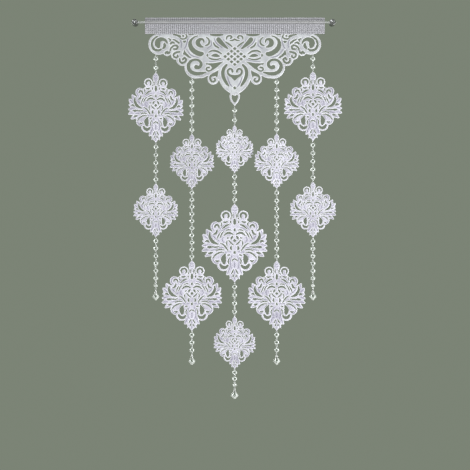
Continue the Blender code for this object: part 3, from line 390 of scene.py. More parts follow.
class Drawing:
    """Half of a symmetric cut-out on squared paper, as how far each grid point lies from the cloth."""

    step = 0.1
    far = 9.0
    margin = 1.2                  # how far round a stroke its distances are worked out

    def __init__(self, half_width, top, bottom):
        self.u = np.arange(0.0, half_width, self.step)
        self.v = np.arange(top, bottom, self.step)
        shape = (len(self.v), len(self.u))
        self.cloth, self.gaps, self.veins = (np.full(shape, self.far) for _ in range(3))
        self.crown = np.zeros(shape)

    def stroke(self, layer, path, radii):
        """Draws a round-ended stroke of changing radius on one layer."""
        margin = max(radii) + self.margin
        for (u0, v0), (u1, v1), r0, r1 in zip(path[:-1], path[1:], radii[:-1], radii[1:]):
            left, right = np.searchsorted(self.u, (min(u0, u1) - margin, max(u0, u1) + margin))
            upper, lower = np.searchsorted(self.v, (min(v0, v1) - margin, max(v0, v1) + margin))
            if left >= right or upper >= lower:
                continue
            du = self.u[None, left:right] - u0
            dv = self.v[upper:lower, None] - v0
            run_u, run_v = u1 - u0, v1 - v0
            along = np.clip((du * run_u + dv * run_v) / max(run_u ** 2 + run_v ** 2, 1e-9), 0.0, 1.0)
            distance = np.hypot(du - along * run_u, dv - along * run_v) - (r0 + along * (r1 - r0))
            window = layer[upper:lower, left:right]
            np.minimum(window, distance, out=window)

    def leaf(self, path, radii):
        """Draws a ribbon of cloth with a rounded back, which stands over those drawn before it."""
        own = np.full_like(self.cloth, self.far)
        self.stroke(own, path, radii)
        np.minimum(self.cloth, own, out=self.cloth)
        inner = np.clip(-own / max(radii), 0.0, 1.0)
        np.maximum(self.crown, np.sqrt(inner * (2.0 - inner)), out=self.crown)

    def polygon(self, layer, corners):
        """Draws a filled outline given by its corners."""
        edge = np.full_like(layer, self.far)
        self.stroke(edge, [*corners, corners[0]], [0.0] * (len(corners) + 1))
        inside = odd_crossings(*np.meshgrid(self.u, self.v), np.array(corners, dtype=float))
        np.minimum(layer, np.where(inside, -edge, edge), out=layer)

    def diamond(self, u, v, half_width, half_height):
        """Cuts an upright diamond on both sides of the centre line."""
        slope = math.hypot(1.0 / half_width, 1.0 / half_height)
        for side in (u, -u):
            reach = np.abs(self.u[None, :] - side) / half_width + np.abs(self.v[:, None] - v) / half_height
            np.minimum(self.gaps, (reach - 1.0) / slope, out=self.gaps)

    def whole(self):
        """Both sides of the drawing: u, v, and the grids of the cut, the veins and the raised ribbons."""
        layers = (np.maximum(self.cloth, -self.gaps), self.veins, self.crown)
        both = [np.concatenate((half[:, :0:-1], half), axis=1) for half in layers]
        return np.concatenate((-self.u[:0:-1], self.u)), self.v, *both


# How a line runs through a grid cell: the sum of the cell's inner corners, which are 1, 2, 4 and 8
# from the upper left on round, then the sides by which it comes in and goes out
CELL_LINES = {
    1: "lt", 2: "tr", 3: "lr", 4: "rb", 5: "ltrb", 6: "tb", 7: "lb", 8: "bl", 9: "bt", 10: "trbl",
    11: "br", 12: "rl", 13: "rt", 14: "tl",
}


def trace(field, u, v):
    """Follows the zero line of a field through its grid and returns it as closed loops."""
    inside = field < 0.0
    code = inside[:-1, :-1] * 1 + inside[:-1, 1:] * 2 + inside[1:, 1:] * 4 + inside[1:, :-1] * 8
    following = {}
    for row, column in zip(*np.nonzero((code > 0) & (code < 15))):
        # The grid point that a side starts from, and whether it runs down or across
        sides = {
            "t": (row, column, 0), "b": (row + 1, column, 0),
            "l": (row, column, 1), "r": (row, column + 1, 1)}
        line = CELL_LINES[int(code[row, column])]
        for start, end in zip(line[::2], line[1::2]):
            following[sides[start]] = sides[end]

    def place(side):
        row, column, down = side
        a, b = field[row, column], field[row + down, column + 1 - down]
        # Kept off the grid points, so that no two corners meet there
        share = min(max(a / (a - b), 0.02), 0.98)
        return u[column] + share * (1 - down) * (u[1] - u[0]), v[row] + share * down * (v[1] - v[0])

    loops = []
    while following:
        start, side = following.popitem()
        loop = [place(start)]
        while side != start:
            loop.append(place(side))
            side = following.pop(side)
        loops.append(np.array(loop))
    return loops


def smooth_path(stations, steps=12, least_radius=0.02):
    """A smooth path through a few (u, v, width) stations, as its points and its radii."""
    rows = np.array(stations, dtype=float)
    rows = np.vstack((2 * rows[0] - rows[1], rows, 2 * rows[-1] - rows[-2]))
    path = []
    for a, b, c, d in zip(rows[:-3], rows[1:-2], rows[2:-1], rows[3:]):
        for t in np.arange(steps) / steps:
            bend = (2 * a - 5 * b + 4 * c - d) * t ** 2 + (3 * b - a - 3 * c + d) * t ** 3
            path.append(b + ((c - a) * t + bend) / 2)
    path = np.array(path + [rows[-2]])
    return path[:, :2], np.maximum(path[:, 2] / 2, least_radius)


def draw(paper, body, rounds, ribbons, slots, ease, diamonds, veins, openings=()):
    """A drawing of cloth shapes with cuts and pressed veins; the ease is added to a slot's half width."""
    drawing = Drawing(*paper)
    drawing.polygon(drawing.cloth, body)
    for _, u, v, radius in rounds:
        drawing.leaf(((u, v), (u, v)), (radius, radius))
    for _, *stations in ribbons:
        drawing.leaf(*smooth_path(stations))
    for layer, rows, more in ((drawing.gaps, slots, ease), (drawing.veins, veins, VEIN_EASE)):
        for _, *stations in rows:
            path, radii = smooth_path(stations)
            drawing.stroke(layer, path, radii + more)
    for _, *corners in openings:
        drawing.polygon(drawing.gaps, corners)
    for place in diamonds:
        drawing.diamond(*place)
    return drawing


def lattice():
    """The diamonds in the middle of the valance, each with its place and its half sizes."""
    last = LATTICE_SIDE - 1
    diamonds = []
    for row in range(LATTICE_SIDE):
        for column in range(row + 1):
            for turn in (row + column, 2 * last - row - column):
                place = (row - column) * LATTICE_PITCH_U, LATTICE_MIDDLE + (turn - last) * LATTICE_PITCH_V
                diamonds.append((*place, *LATTICE_DIAMOND))
    return diamonds


def area(loop):
    """Area inside a closed loop, whose sign tells an outline from a gap."""
    x, z = loop[:, 0], loop[:, 1]
    return (np.dot(x, np.roll(z, -1)) - np.dot(z, np.roll(x, -1))) / 2


def straighten(loop, tolerance):
    """Keeps only the points of a closed loop that its shape needs."""
    far = int(np.argmax(np.hypot(*(loop - loop[0]).T)))
    kept = {0, far}
    spans = [(0, far), (far, len(loop))]
    closed = np.vstack((loop, loop[:1]))
    while spans:
        start, end = spans.pop()
        if end - start < 2:
            continue
        run = closed[end] - closed[start]
        off = closed[start + 1:end] - closed[start]
        stand = np.abs(off[:, 0] * run[1] - off[:, 1] * run[0]) / max(np.hypot(*run), 1e-9)
        middle = int(np.argmax(stand))
        if stand[middle] > tolerance:
            middle += start + 1
            kept.add(middle)
            spans += [(start, middle), (middle, end)]
    return loop[sorted(kept)]


def inside_loops(points, loops):
    """Which points lie inside an odd number of the loops."""
    inside = np.zeros(len(points), dtype=bool)
    for loop in loops:
        near = (points[:, 1] >= loop[:, 1].min()) & (points[:, 1] <= loop[:, 1].max())
        rows = np.nonzero(near & (points[:, 0] <= loop[:, 0].max()))[0]
        inside[rows] ^= odd_crossings(points[rows, 0], points[rows, 1], loop)
    return inside


class Pattern:
    """A cut-out triangulated once, in squares, with how deep in the cloth and how raised each corner is."""

    tolerance = 0.025             # how far a straightened line may stray
    rims = (0.14, 0.42, 0.85)     # depths in from the cut edge at which rings of corners are laid
    filling = 0.7                 # distance between the corners further in
    clear = 0.35                  # how far these keep from the last ring
    vein_rim = 0.2                # how far the veins keep from the cut edge
    least_gap = 0.3               # area of the smallest gap, and of the smallest ring
    least_ring = 0.05
    ground = 0.5                  # thickness of the flat cloth as a share of the raised ribbons'
    press = 0.6                   # the share of it that a vein takes away

    def __init__(self, drawing):
        u, v, field, veins, crown = drawing.whole()
        loops = trace(field, u, v)
        outline = max(loops, key=lambda loop: abs(area(loop)))
        way = math.copysign(1.0, area(outline))
        cut = [outline] + [loop for loop in loops if area(loop) * way < -self.least_gap]
        cut = [straighten(loop, self.tolerance) for loop in cut]
        levels = [(field + depth, self.tolerance) for depth in self.rims]
        for depth in (0.0, VEIN_SLOPE):
            levels.append((np.maximum(veins + depth, field + self.vein_rim), 2 * self.tolerance))
        rings = list(cut)
        for level, tolerance in levels:
            wide = [loop for loop in trace(level, u, v) if abs(area(loop)) > self.least_ring]
            rings += [straighten(loop, tolerance) for loop in wide]
        points = []
        edges = []
        for loop in rings:
            first, count = len(points), len(loop)
            points += [Vector(point) for point in loop]
            edges += [(first + i, first + (i + 1) % count) for i in range(count)]
        stride = round(self.filling / drawing.step)
        inner = field[stride::stride, stride::stride] < -self.rims[-1] - self.clear
        points += [Vector((u[stride * (j + 1)], v[stride * (i + 1)])) for i, j in np.argwhere(inner)]
        corners, _, triangles, *_ = delaunay_2d_cdt(points, edges, [], 1, 1e-6)
        self.points = np.array([corner[:] for corner in corners])
        triangles = np.array([list(triangle) for triangle in triangles])
        triangles = triangles[inside_loops(self.points[triangles].mean(axis=1), cut)]
        a, b, c = (self.points[triangles[:, i]] for i in range(3))
        twice = (b[:, 0] - a[:, 0]) * (c[:, 1] - a[:, 1]) - (b[:, 1] - a[:, 1]) * (c[:, 0] - a[:, 0])
        triangles[twice > 0] = triangles[twice > 0][:, ::-1]
        self.triangles = triangles
        self.area = float(np.abs(twice).sum() / 2)
        self.depths = np.maximum(-self.read(field, u, v), 0.0)
        self.creases = np.clip(-self.read(veins, u, v) / VEIN_SLOPE, 0.0, 1.0)
        raised = self.ground + (1.0 - self.ground) * self.read(crown, u, v)
        self.relief = raised * (1.0 - self.press * self.creases)
        directed = triangles[:, [0, 1, 1, 2, 2, 0]].reshape(-1, 2)
        _, first, counts = np.unique(
            np.sort(directed, axis=1), axis=0, return_index=True, return_counts=True)
        self.rim = directed[first[counts == 1]]
        self.low = self.points.min(axis=0)
        self.high = self.points.max(axis=0)

    def read(self, field, u, v):
        """A grid's value at every corner."""
        column = np.clip((self.points[:, 0] - u[0]) / (u[1] - u[0]), 0, len(u) - 1.001)
        row = np.clip((self.points[:, 1] - v[0]) / (v[1] - v[0]), 0, len(v) - 1.001)
        i, j = row.astype(int), column.astype(int)
        s, t = row - i, column - j
        upper = field[i, j] * (1 - t) + field[i, j + 1] * t
        lower = field[i + 1, j] * (1 - t) + field[i + 1, j + 1] * t
        return upper * (1 - s) + lower * s


# Meshes

def new_mesh(name, verts, faces, smooth=None):
    """A mesh; its surface is smooth where it bends by less than a number of degrees, if that is given."""
    mesh = bpy.data.meshes.new(name)
    mesh.from_pydata(verts, [], faces)
    if smooth:
        mesh.shade_smooth()
        mesh.set_sharp_from_angle(angle=math.radians(smooth))
    return mesh


def cloth_mesh(name, pattern, square, thickness, place):
    """A closed cloth mesh of a pattern: rounded towards its cut edges and laid out by a function."""
    rounding = 0.0046             # how deep in the cloth has its full thickness
    edge = 0.24                   # the share of it that the cut edge has
    highlight_depth, fade = 0.00175, 0.0014  # how deep the painted highlight along the cut edge reaches, and over how much it fades
    depths = pattern.depths * square
    inner = np.clip(depths / rounding, 0.0, 1.0)
    half = thickness / 2 * (edge + (1 - edge) * np.sqrt(inner * (2.0 - inner)) * pattern.relief)
    x, y, z = place(pattern.points)
    verts = np.vstack((np.column_stack((x, y - half, z)), np.column_stack((x, y + half, z))))
    count = len(x)
    a, b = pattern.rim[:, 0], pattern.rim[:, 1]
    walls = np.column_stack((b, a, a + count, b + count))
    faces = pattern.triangles.tolist() + (pattern.triangles[:, ::-1] + count).tolist() + walls.tolist()
    mesh = new_mesh(name, verts.tolist(), faces, 55)
    # Painted highlight: a share from 1 at the cut edge to 0 further in paints the cloth paler where its
    # rounded edge catches the light; the crease share paints shade into the pressed veins
    highlight_share = np.clip((highlight_depth - depths) / fade, 0.0, 1.0)
    for layer_name, shares in (("cut_edge", highlight_share), ("crease", pattern.creases)):
        layer = mesh.attributes.new(layer_name, "FLOAT", "POINT")
        layer.data.foreach_set("value", np.concatenate((shares, shares)))
    return mesh


def joined_mesh(name, shape, places):
    """One mesh of many copies of a small shape, each put in place by a 4 x 4 matrix."""
    verts, faces = shape
    corners = np.column_stack((np.array(verts), np.ones(len(verts))))
    points = np.vstack([corners @ np.array(place).T for place in places])[:, :3]
    copies = [[i + first for i in face] for first in range(0, len(points), len(verts)) for face in faces]
    return new_mesh(name, points.tolist(), copies)


def rings_shape(rings, leads=None):
    """Corners and faces of a closed body through rings of points, some of them half a side ahead."""
    count = len(rings[0])
    leads = leads or [False] * len(rings)
    faces = []
    for number, (here, there) in enumerate(zip(leads[:-1], leads[1:])):
        for i in range(count):
            a, b = number * count + i, number * count + (i + 1) % count
            c, d = a + count, b + count
            if here == there:
                faces.append((a, b, d, c))
            elif there:
                faces += [(a, b, c), (c, b, d)]
            else:
                faces += [(a, b, d), (a, d, c)]
    last = (len(rings) - 1) * count
    faces += [tuple(range(count - 1, -1, -1)), tuple(range(last, last + count))]
    return [point for ring in rings for point in ring], faces


def turned_mesh(name, stations, sides, axis, least_radius=1e-5):
    """A turned body about X or Y through (place along the axis, radius) stations."""
    turns = [2 * math.pi * i / sides for i in range(sides)]
    rings = []
    for place, radius in stations:
        radius = max(radius, least_radius)
        across = [(radius * math.cos(t), radius * math.sin(t)) for t in turns]
        rings.append([(place, a, b) if axis == "X" else (b, place, a) for a, b in across])
    verts, faces = rings_shape(rings)
    return new_mesh(name, verts, [face[::-1] for face in faces], 42)


def add_piece(mesh, material, nodes=()):
    """Adds a mesh as a piece of the hanging; it stands for the nodes named."""
    piece = bpy.data.objects.new(mesh.name, mesh)
    bpy.context.scene.collection.objects.link(piece)
    mesh.materials.append(material)
    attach(piece, "root")
    if nodes:
        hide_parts(*nodes)
    return piece


# Materials

class Finish:
    """A new material with a Principled shader, and the nodes that feed it."""

    def __init__(self, name, colour, **inputs):
        self.material = bpy.data.materials.new(name)
        self.material.use_nodes = True
        self.tree = self.material.node_tree
        self.dress(Base_Color=(*colour, 1.0), **inputs)
        self.place = self.node("TexCoord", "Object")

    def feed(self, node, **inputs):
        """Gives a node's inputs constants, or links them to the outputs given."""
        for name, value in inputs.items():
            socket = node.inputs[name.replace("_", " ")]
            if isinstance(value, bpy.types.NodeSocket):
                self.tree.links.new(value, socket)
            else:
                socket.default_value = value

    def dress(self, **inputs):
        """Feeds the shader itself."""
        self.feed(self.tree.nodes["Principled BSDF"], **inputs)

    def node(self, kind, output, options=(), **inputs):
        """Adds a node and returns one of its outputs."""
        node = self.tree.nodes.new(f"ShaderNode{kind}")
        for name, value in options:
            setattr(node, name, value)
        self.feed(node, **inputs)
        return node.outputs[output]

    def noise(self, scale, detail=3.0):
        """A noise value between 0 and 1 at a scale per metre."""
        return self.node("TexNoise", "Fac", Scale=scale, Detail=detail, Vector=self.place)

    def ramp(self, value, *stops):
        """Colours along a value; each stop is a position and a colour."""
        colour = self.node("ValToRGB", "Color", Fac=value)
        elements = colour.node.color_ramp.elements
        while len(elements) < len(stops):
            elements.new(0.5)
        for element, (position, shade) in zip(elements, stops):
            element.position = position
            element.color = (*shade, 1.0)
        return colour

    def span(self, value, low, high):
        """A value from 0 to 1 brought to another range."""
        return self.node("MapRange", "Result", To_Min=low, To_Max=high, Value=value)

    def height(self, low, high):
        """How far up a point is: 0 at one height on the object, 1 at another."""
        up = self.node("SeparateXYZ", "Z", Vector=self.place)
        return self.node("MapRange", "Result", From_Min=low, From_Max=high, Value=up)

    def blend(self, share, colour, other):
        """A colour that turns to another one where the share is high."""
        return self.node("Mix", "Result", [("data_type", "RGBA")], Factor=share, A=colour, B=other)

    def weave(self, pitch):
        """The height of a plain weave in the X and Z directions."""
        waves = []
        for direction in ("X", "Z"):
            waves.append(self.node(
                "TexWave", "Fac", [("bands_direction", direction)], Scale=math.pi / (20 * pitch),
                Distortion=0.6, Detail_Scale=2.0, Vector=self.place))
        higher = self.node("Math", "Value", [("operation", "MAXIMUM")])
        for wave, socket in zip(waves, higher.node.inputs):
            self.tree.links.new(wave, socket)
        return higher

    def bump(self, height, distance, strength=1.0):
        """Raises the surface by a height between 0 and 1 times a distance."""
        self.dress(Normal=self.node("Bump", "Normal", Distance=distance, Strength=strength, Height=height))


def shaded(colour, share):
    """A colour made darker or lighter by a share."""
    return tuple(min(share * channel, 0.96) for channel in colour)


# Smooth finish: share of its group's colour, scale of its smudges, their lowest and highest roughness,
# strength of its ripples, then the shader's own inputs
SMOOTH_FINISHES = {
    "bright metal": (1.0, 160.0, 0.08, 0.24, 0.0, {"Roughness": 0.14, "Metallic": 1.0}),
    # Painted shade: the holders' chrome is painted dark, at 0.3 of the bright metal's colour
    "smoked metal": (0.3, 210.0, 0.18, 0.34, 0.0, {"Roughness": 0.24, "Metallic": 1.0}),
    "link wire": (1.0, 900.0, 0.34, 0.5, 0.0, {"Roughness": 0.4, "Metallic": 1.0}),
    "clear bead glass": (
        1.0, 420.0, 0.0, 0.06, 0.4, {"Roughness": 0.02, "Transmission_Weight": 1.0, "IOR": 1.52}),
    "bevelled bead glass": (
        1.0, 260.0, 0.18, 0.34, 0.4, {"Roughness": 0.25, "Transmission_Weight": 0.5, "IOR": 1.52}),
    # Painted shade: the drop stalk's glass is painted grey, at less than half the glass colour, and made
    # less clear
    "drop stalk glass": (
        0.45, 260.0, 0.24, 0.4, 0.0, {"Roughness": 0.3, "Transmission_Weight": 0.15, "IOR": 1.40}),
    "pale floor": (1.0, 60.0, 0.75, 0.85, 0.0, {"Roughness": 0.8}),
}


def smooth_finish(name, group_colour):
    """Metal, glass or floor, with faint smudges and perhaps ripples; it is made once."""
    if name in bpy.data.materials:
        return bpy.data.materials[name]
    share, scale, low, high, ripples, inputs = SMOOTH_FINISHES[name]
    finish = Finish(name, shaded(group_colour, share), **inputs)
    smudges = finish.noise(scale)
    finish.dress(Roughness=finish.span(smudges, low, high))
    if ripples:
        finish.bump(smudges, 0.0001, ripples)
    return finish.material


def cloth_finish(settings, name="white cloth", tint=(1.0, 1.0, 1.0)):
    """Stiffened white cloth with a fine weave, soft sheen and faint duller patches, painted shade in its
    pressed veins and a painted highlight along its cut edges; it is made once.
    """
    if name in bpy.data.materials:
        return bpy.data.materials[name]
    plain, dull = (tuple(a * b for a, b in zip(tone, tint)) for tone in (settings.colour, settings.shade))
    finish = Finish(name, plain, Roughness=0.62, Sheen_Weight=0.35, Sheen_Roughness=0.4)
    patches = finish.noise(30.0, 4.0)
    colour = finish.ramp(patches, (0.36, dull), (0.68, plain))
    # Painted shade darkens the pressed veins, and a painted highlight lightens the cloth along its cut edges
    for layer, other in (("crease", (0.26, 0.25, 0.33, 1.0)), ("cut_edge", (0.82, 0.81, 0.89, 1.0))):
        colour = finish.blend(finish.node("Attribute", "Fac", [("attribute_name", layer)]), colour, other)
    finish.dress(Base_Color=colour, Roughness=finish.span(patches, 0.72, 0.5))
    finish.bump(finish.weave(settings.thread), 0.00012, 0.6)
    return finish.material


def stone_finish(settings):
    """Silver-grey stones, each a little lighter or darker than the next, and painted darker in the header as
    shade.
    """
    finish = Finish("heading stones", settings.colour, Roughness=0.30, Metallic=0.12)
    shades = finish.noise(310.0, 1.0)
    plain, header_shade = (
        finish.ramp(shades, (0.35, shaded(settings.colour, low)), (0.65, shaded(settings.colour, high)))
        for low, high in ((0.84, 1.1), (0.66, 0.82)))
    # Painted shade: the stones are painted darker from just over the rod up through the header
    header = finish.height(0.0025, 0.0065)
    finish.dress(Base_Color=finish.blend(header, plain, header_shade), Roughness=finish.span(shades, 0.24, 0.40))
    return finish.material


def strip_finish(settings):
    """The grey net under the stones, with a plain satin band round the rod; under the band a strip of the
    bare dark net is left as painted shade below the pocket.
    """
    net = shaded(settings.colour, 0.22)
    finish = Finish("heading net", net, Roughness=0.6)
    threads = finish.weave(settings.pitch / 4)
    plain = finish.ramp(threads, (0.2, shaded(net, 0.6)), (0.9, net))
    none, full = (0.0, 0.0, 0.0), (1.0, 1.0, 1.0)
    height = finish.height(-settings.pocket, settings.pocket)
    # Painted shade: below the satin band the bare dark net shows as a dark line under the pocket
    band = finish.ramp(height, (0.08, none), (0.18, full), (0.90, full), (0.96, none))
    satin = finish.ramp(finish.noise(90.0), (0.35, shaded(settings.satin, 0.9)), (0.65, settings.satin))
    finish.dress(Base_Color=finish.blend(band, plain, satin))
    finish.bump(threads, 0.0003)
    return finish.material


# Pieces

class HANGING_OT_rod(Operator):
    """Make the rod and its two round holders."""

    bl_idname = "hanging.rod"
    bl_label = "Rod and holders"

    chamfer = 0.0006              # at the rod's ends
    button = 0.0026               # radius of the bright button in a holder
    share = 0.93                  # a holder's radius as a share of its room

    def execute(self, context):
        settings = context.scene.hanging_metal
        chrome, shade_painted = (smooth_finish(name, settings.colour) for name in ("bright metal", "smoked metal"))
        low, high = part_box("rod")
        radius = (high.z - low.z) / 2
        ends = [(low.x, radius - self.chamfer), (low.x + self.chamfer, radius)]
        ends += [(high.x - self.chamfer, radius), (high.x, radius - self.chamfer)]
        add_piece(turned_mesh("curtain_rod", ends, 40, "X"), chrome, ["rod"])
        for side in ("left", "right"):
            node = f"holder_{side}"
            low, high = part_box(node)
            middle = (low.x + high.x) / 2
            mesh = turned_mesh(f"rod_holder_{side}", self.holder(low, high, settings.rim), 56, "Y")
            mesh.transform(Matrix.Translation((middle, 0.0, 0.0)))
            add_piece(mesh, shade_painted, [node])
            mesh.materials.append(chrome)
            # Only the button keeps the bright metal; the rest of the holder is painted dark as shade
            for face in mesh.polygons:
                face.material_index = int(math.hypot(face.center.x - middle, face.center.z) < self.button)
        return {"FINISHED"}

    def holder(self, low, high, rim):
        """Stations of a holder: its dished front with a button, its rounded rim and its flat back."""
        radius = self.share * (high.z - low.z) / 2
        front = [(0.0012, 0.0)]
        front += [(0.0014 - 0.0009 * math.cos(t), 0.0016 * math.sin(t) + 0.0004) for t in (0.5, 1.1)]
        front += [(0.0030, 0.0026), (0.0034, 0.0040), (0.0026, 0.0058)]
        for turn in (math.pi * i / 8 for i in range(9)):
            front.append((rim - rim * math.sin(turn), radius - rim - rim * math.cos(turn)))
        front.append((0.006, radius - 0.0006))
        back = ((0.004, 0.0006), (0.0034, 0.0), (0.0004, 0.0), (0.0, 0.0004), (0.0, radius))
        return [(low.y + y, r) for y, r in front] + [(high.y - y, radius - r) for y, r in back]


class HANGING_OT_heading(Operator):
    """Make the heading: a strip folded round the rod, covered with rows of stones."""

    bl_idname = "hanging.heading"
    bl_label = "Heading band"

    thickness = 0.0010
    lengthwise = 120              # cross sections along the strip
    flap = -0.0027                # front face of the flap that hangs down, and where it ends below the rod
    flap_top = -0.0075
    pocket = 0.0052               # outer radius round the rod
    waist = math.radians(52)      # how far up and down the pocket lies round the rod
    air = 0.0001                  # half the air between the header's two layers
    shoulder = (0.0006, 0.0056)   # how far out the strip stands just over the pocket, and how high
    header_foot = 0.0072          # where the two layers lie together
    back_leg = 0.0002             # middle of the short leg at the back, and how far down it reaches
    back_hem = -0.0124
    # Waves of the header: height, how many radians a metre, where they start
    waves = ((0.0006, 23.0, 0.7), (0.0003, 71.0, 0.0))
    still = 0.004                 # how high the strip stays straight, and over how much it comes free
    freed = 0.008
    loose = 0.03                  # how much a stone may lean or nod, in radians

    def execute(self, context):
        settings = context.scene.hanging_heading
        low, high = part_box("heading_band")
        path, normals = self.fold(low, high)
        mesh = self.strip(path, normals, low.x, high.x)
        strip = add_piece(mesh, strip_finish(settings), ["heading_band"])
        stones = self.stones(path, normals, low.x, high.x, settings)
        add_piece(stones, stone_finish(settings))
        return {"FINISHED"}

    def fold(self, low, high):
        """The strip's middle line as (y, z) points from the front hem over the top to the back hem."""
        half = self.thickness / 2
        layer = self.air + half
        crown = high.z - half - layer
        flap = [(self.flap + half, z) for z in np.linspace(low.z, self.flap_top, 12)]
        front = [((half - self.pocket) * math.cos(t), (self.pocket - half) * math.sin(t))
                 for t in np.linspace(-self.waist, self.waist, 11)]
        front.append((-layer - self.shoulder[0], self.shoulder[1]))
        front += [(-layer, z) for z in np.linspace(self.header_foot, crown, 5)]
        over = [(-layer * math.cos(t), crown + layer * math.sin(t))
                for t in np.linspace(0.4, math.pi - 0.4, 5)]
        back = [(-y, z) for y, z in reversed(front)]
        leg = [(self.back_leg, z) for z in np.linspace(self.flap_top, self.back_hem, 3)]
        path = np.array(flap + front + over + back + leg)
        along = np.gradient(path, axis=0)
        along /= np.hypot(*along.T)[:, None]
        return path, np.column_stack((-along[:, 1], along[:, 0]))

    def strip(self, path, normals, left, right):
        """Sweeps the folded line along X as a thin closed strip."""
        half = self.thickness / 2
        outline = np.vstack((path + normals * half, (path - normals * half)[::-1]))
        places = np.linspace(left, right, self.lengthwise)
        verts, faces = rings_shape([[(x, y + self.sway(x, z), z) for y, z in outline] for x in places])
        # Each end is closed by a row of quads in place of one bent face
        faces = faces[:-2]
        count = len(outline)
        for first, way in ((0, -1), (len(verts) - count, 1)):
            for i in range(len(path) - 1):
                quad = (first + i, first + i + 1, first + count - 2 - i, first + count - 1 - i)
                faces.append(quad[::way])
        return new_mesh("heading_strip", verts, faces, 50)

    def sway(self, x, z):
        """How far the header stands to the front or back: not at all at the rod and below it."""
        free = min(max((z - self.still) / self.freed, 0.0), 1.0)
        return free * sum(height * math.sin(rate * x + start) for height, rate, start in self.waves)

    def stones(self, path, normals, left, right, settings):
        """Rows of faceted stones over both faces of the strip."""
        # Outlines of a stone: half width, height over the net, share cut off its corners
        half = settings.stone / 2
        outlines = ((half, 0.0, 0.30), (half, 0.0003, 0.30), (0.52 * half, 0.0014, 0.42))
        stone = rings_shape([self.octagon(*outline) for outline in outlines])
        reached = np.concatenate(([0.0], np.cumsum(np.hypot(*np.diff(path, axis=0).T))))
        # Rows fill the flap up to the crease under the rod, and go on from near the top of the smooth
        # pocket; both places are shares of its half height, found on the front half of the line
        rising = int(np.argmax(path[:, 1] > self.header_foot))
        crease, resumed = (
            float(np.interp(share * settings.pocket, path[:rising, 1], reached[:rising]))
            for share in (-1.0, 0.82))
        # The bare dark net left showing between the crease and the pocket's satin band is painted shade
        # under the pocket
        rows = []
        for start, end in ((0.0, crease), (resumed, reached[-1])):
            count = round((end - start) / settings.pitch)
            rows += [start + (row + 0.5) * (end - start) / count for row in range(count)]
        columns = int((right - left) / settings.pitch)
        chance = random.Random(5)
        places = []
        for at in rows:
            y, z, out_y, out_z = (np.interp(at, reached, row) for row in (*path.T, *normals.T))
            out = np.array((out_y, out_z)) / np.hypot(out_y, out_z)
            y, z = np.array((y, z)) + out * self.thickness / 2
            tilt = math.atan2(-out[1], -out[0])
            for column in range(columns):
                x = left + (column + 0.5) * (right - left) / columns
                lean = Matrix.Rotation(chance.uniform(-self.loose, self.loose), 4, "Z")
                nod = Matrix.Rotation(tilt + chance.uniform(-self.loose, self.loose), 4, "X")
                places.append(Matrix.Translation((x, y + self.sway(x, z), z)) @ nod @ lean)
        return joined_mesh("heading_stones", stone, places)

    @staticmethod
    def octagon(half, height, cut):
        """A square with cut corners, at a height towards the front."""
        inner = half * (1.0 - cut)
        side = ((half, -inner), (half, inner), (inner, half), (-inner, half))
        return [(x, -height, z) for x, z in side] + [(-x, -height, -z) for x, z in side]


class HANGING_OT_valance(Operator):
    """Make the cut-cloth valance."""

    bl_idname = "hanging.valance"
    bl_label = "Valance"

    tint = (0.985, 1.035, 0.93)   # it is a little less lavender than the medallions
    freed = 0.16                  # how deep under its upper edge it waves in full
    # Its waves: height, how many radians a metre, where they start
    waves = ((0.0016, 17.0, 0.5), (-0.0008, 39.0, -1.0))

    def execute(self, context):
        settings = context.scene.hanging_cloth
        low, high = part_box("valance")
        pattern = Pattern(draw(
            VALANCE_PAPER, VALANCE_BODY, VALANCE_ROUNDS, VALANCE_RIBBONS, VALANCE_SLOTS,
            VALANCE_SLOT_EASE, [HEART_DIAMOND, *lattice()], VALANCE_VEINS, VALANCE_OPENINGS))
        square = (high.x - low.x) / (pattern.high[0] - pattern.low[0])

        def place(points):
            x = points[:, 0] * square
            depth = (points[:, 1] - pattern.low[1]) * square
            free = np.clip(depth / self.freed, 0.0, 1.0) ** 1.5
            waves = sum(height * np.sin(rate * x + start) for height, rate, start in self.waves)
            return x, free * waves, high.z - depth

        mesh = cloth_mesh("valance_cloth", pattern, square, settings.thickness, place)
        finish = cloth_finish(settings, "valance cloth", self.tint)
        piece = add_piece(mesh, finish, ["valance"])
        return {"FINISHED"}


class HANGING_OT_medallions(Operator):
    """Make the cut-cloth medallions, each turned and curled as it hangs."""

    bl_idname = "hanging.medallions"
    bl_label = "Medallions"

    warp = (0.4, 3.0)             # how much of the curl turns over on the way down, in how many radians

    def execute(self, context):
        settings = context.scene.hanging_cloth
        patterns = [Pattern(draw(
            MEDALLION_PAPER, MEDALLION_BODY, MEDALLION_ROUNDS, MEDALLION_RIBBONS, MEDALLION_SLOTS,
            ease, [MEDALLION_DIAMOND], MEDALLION_VEINS)) for ease in (MEDALLION_SLOT_EASE, SMALL_SLOT_EASE)]
        for name, turn, curl in MEDALLIONS:
            node = f"medallion_{name}"
            low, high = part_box(node)
            pattern = patterns[int(high.x - low.x < SMALL_MEDALLION)]
            across, ahead = math.cos(math.radians(turn)), math.sin(math.radians(turn))
            width = (high.x - low.x - abs(ahead) * settings.thickness) / across
            height = high.z - low.z
            square_u, square_v = np.array((width, height)) / (pattern.high - pattern.low)
            middle = (low.x + high.x) / 2

            def place(points):
                x = points[:, 0] * square_u
                depth = (points[:, 1] - pattern.low[1]) * square_v
                share = x / (width / 2)
                warped = self.warp[0] * share * np.sin(self.warp[1] * depth / height)
                y = -curl * (share ** 2 + warped)
                return middle + x * across - y * ahead, x * ahead + y, high.z - depth

            mesh = cloth_mesh(f"cloth_{node}", pattern, (square_u + square_v) / 2, settings.thickness, place)
            piece = add_piece(mesh, cloth_finish(settings), [node])
        return {"FINISHED"}


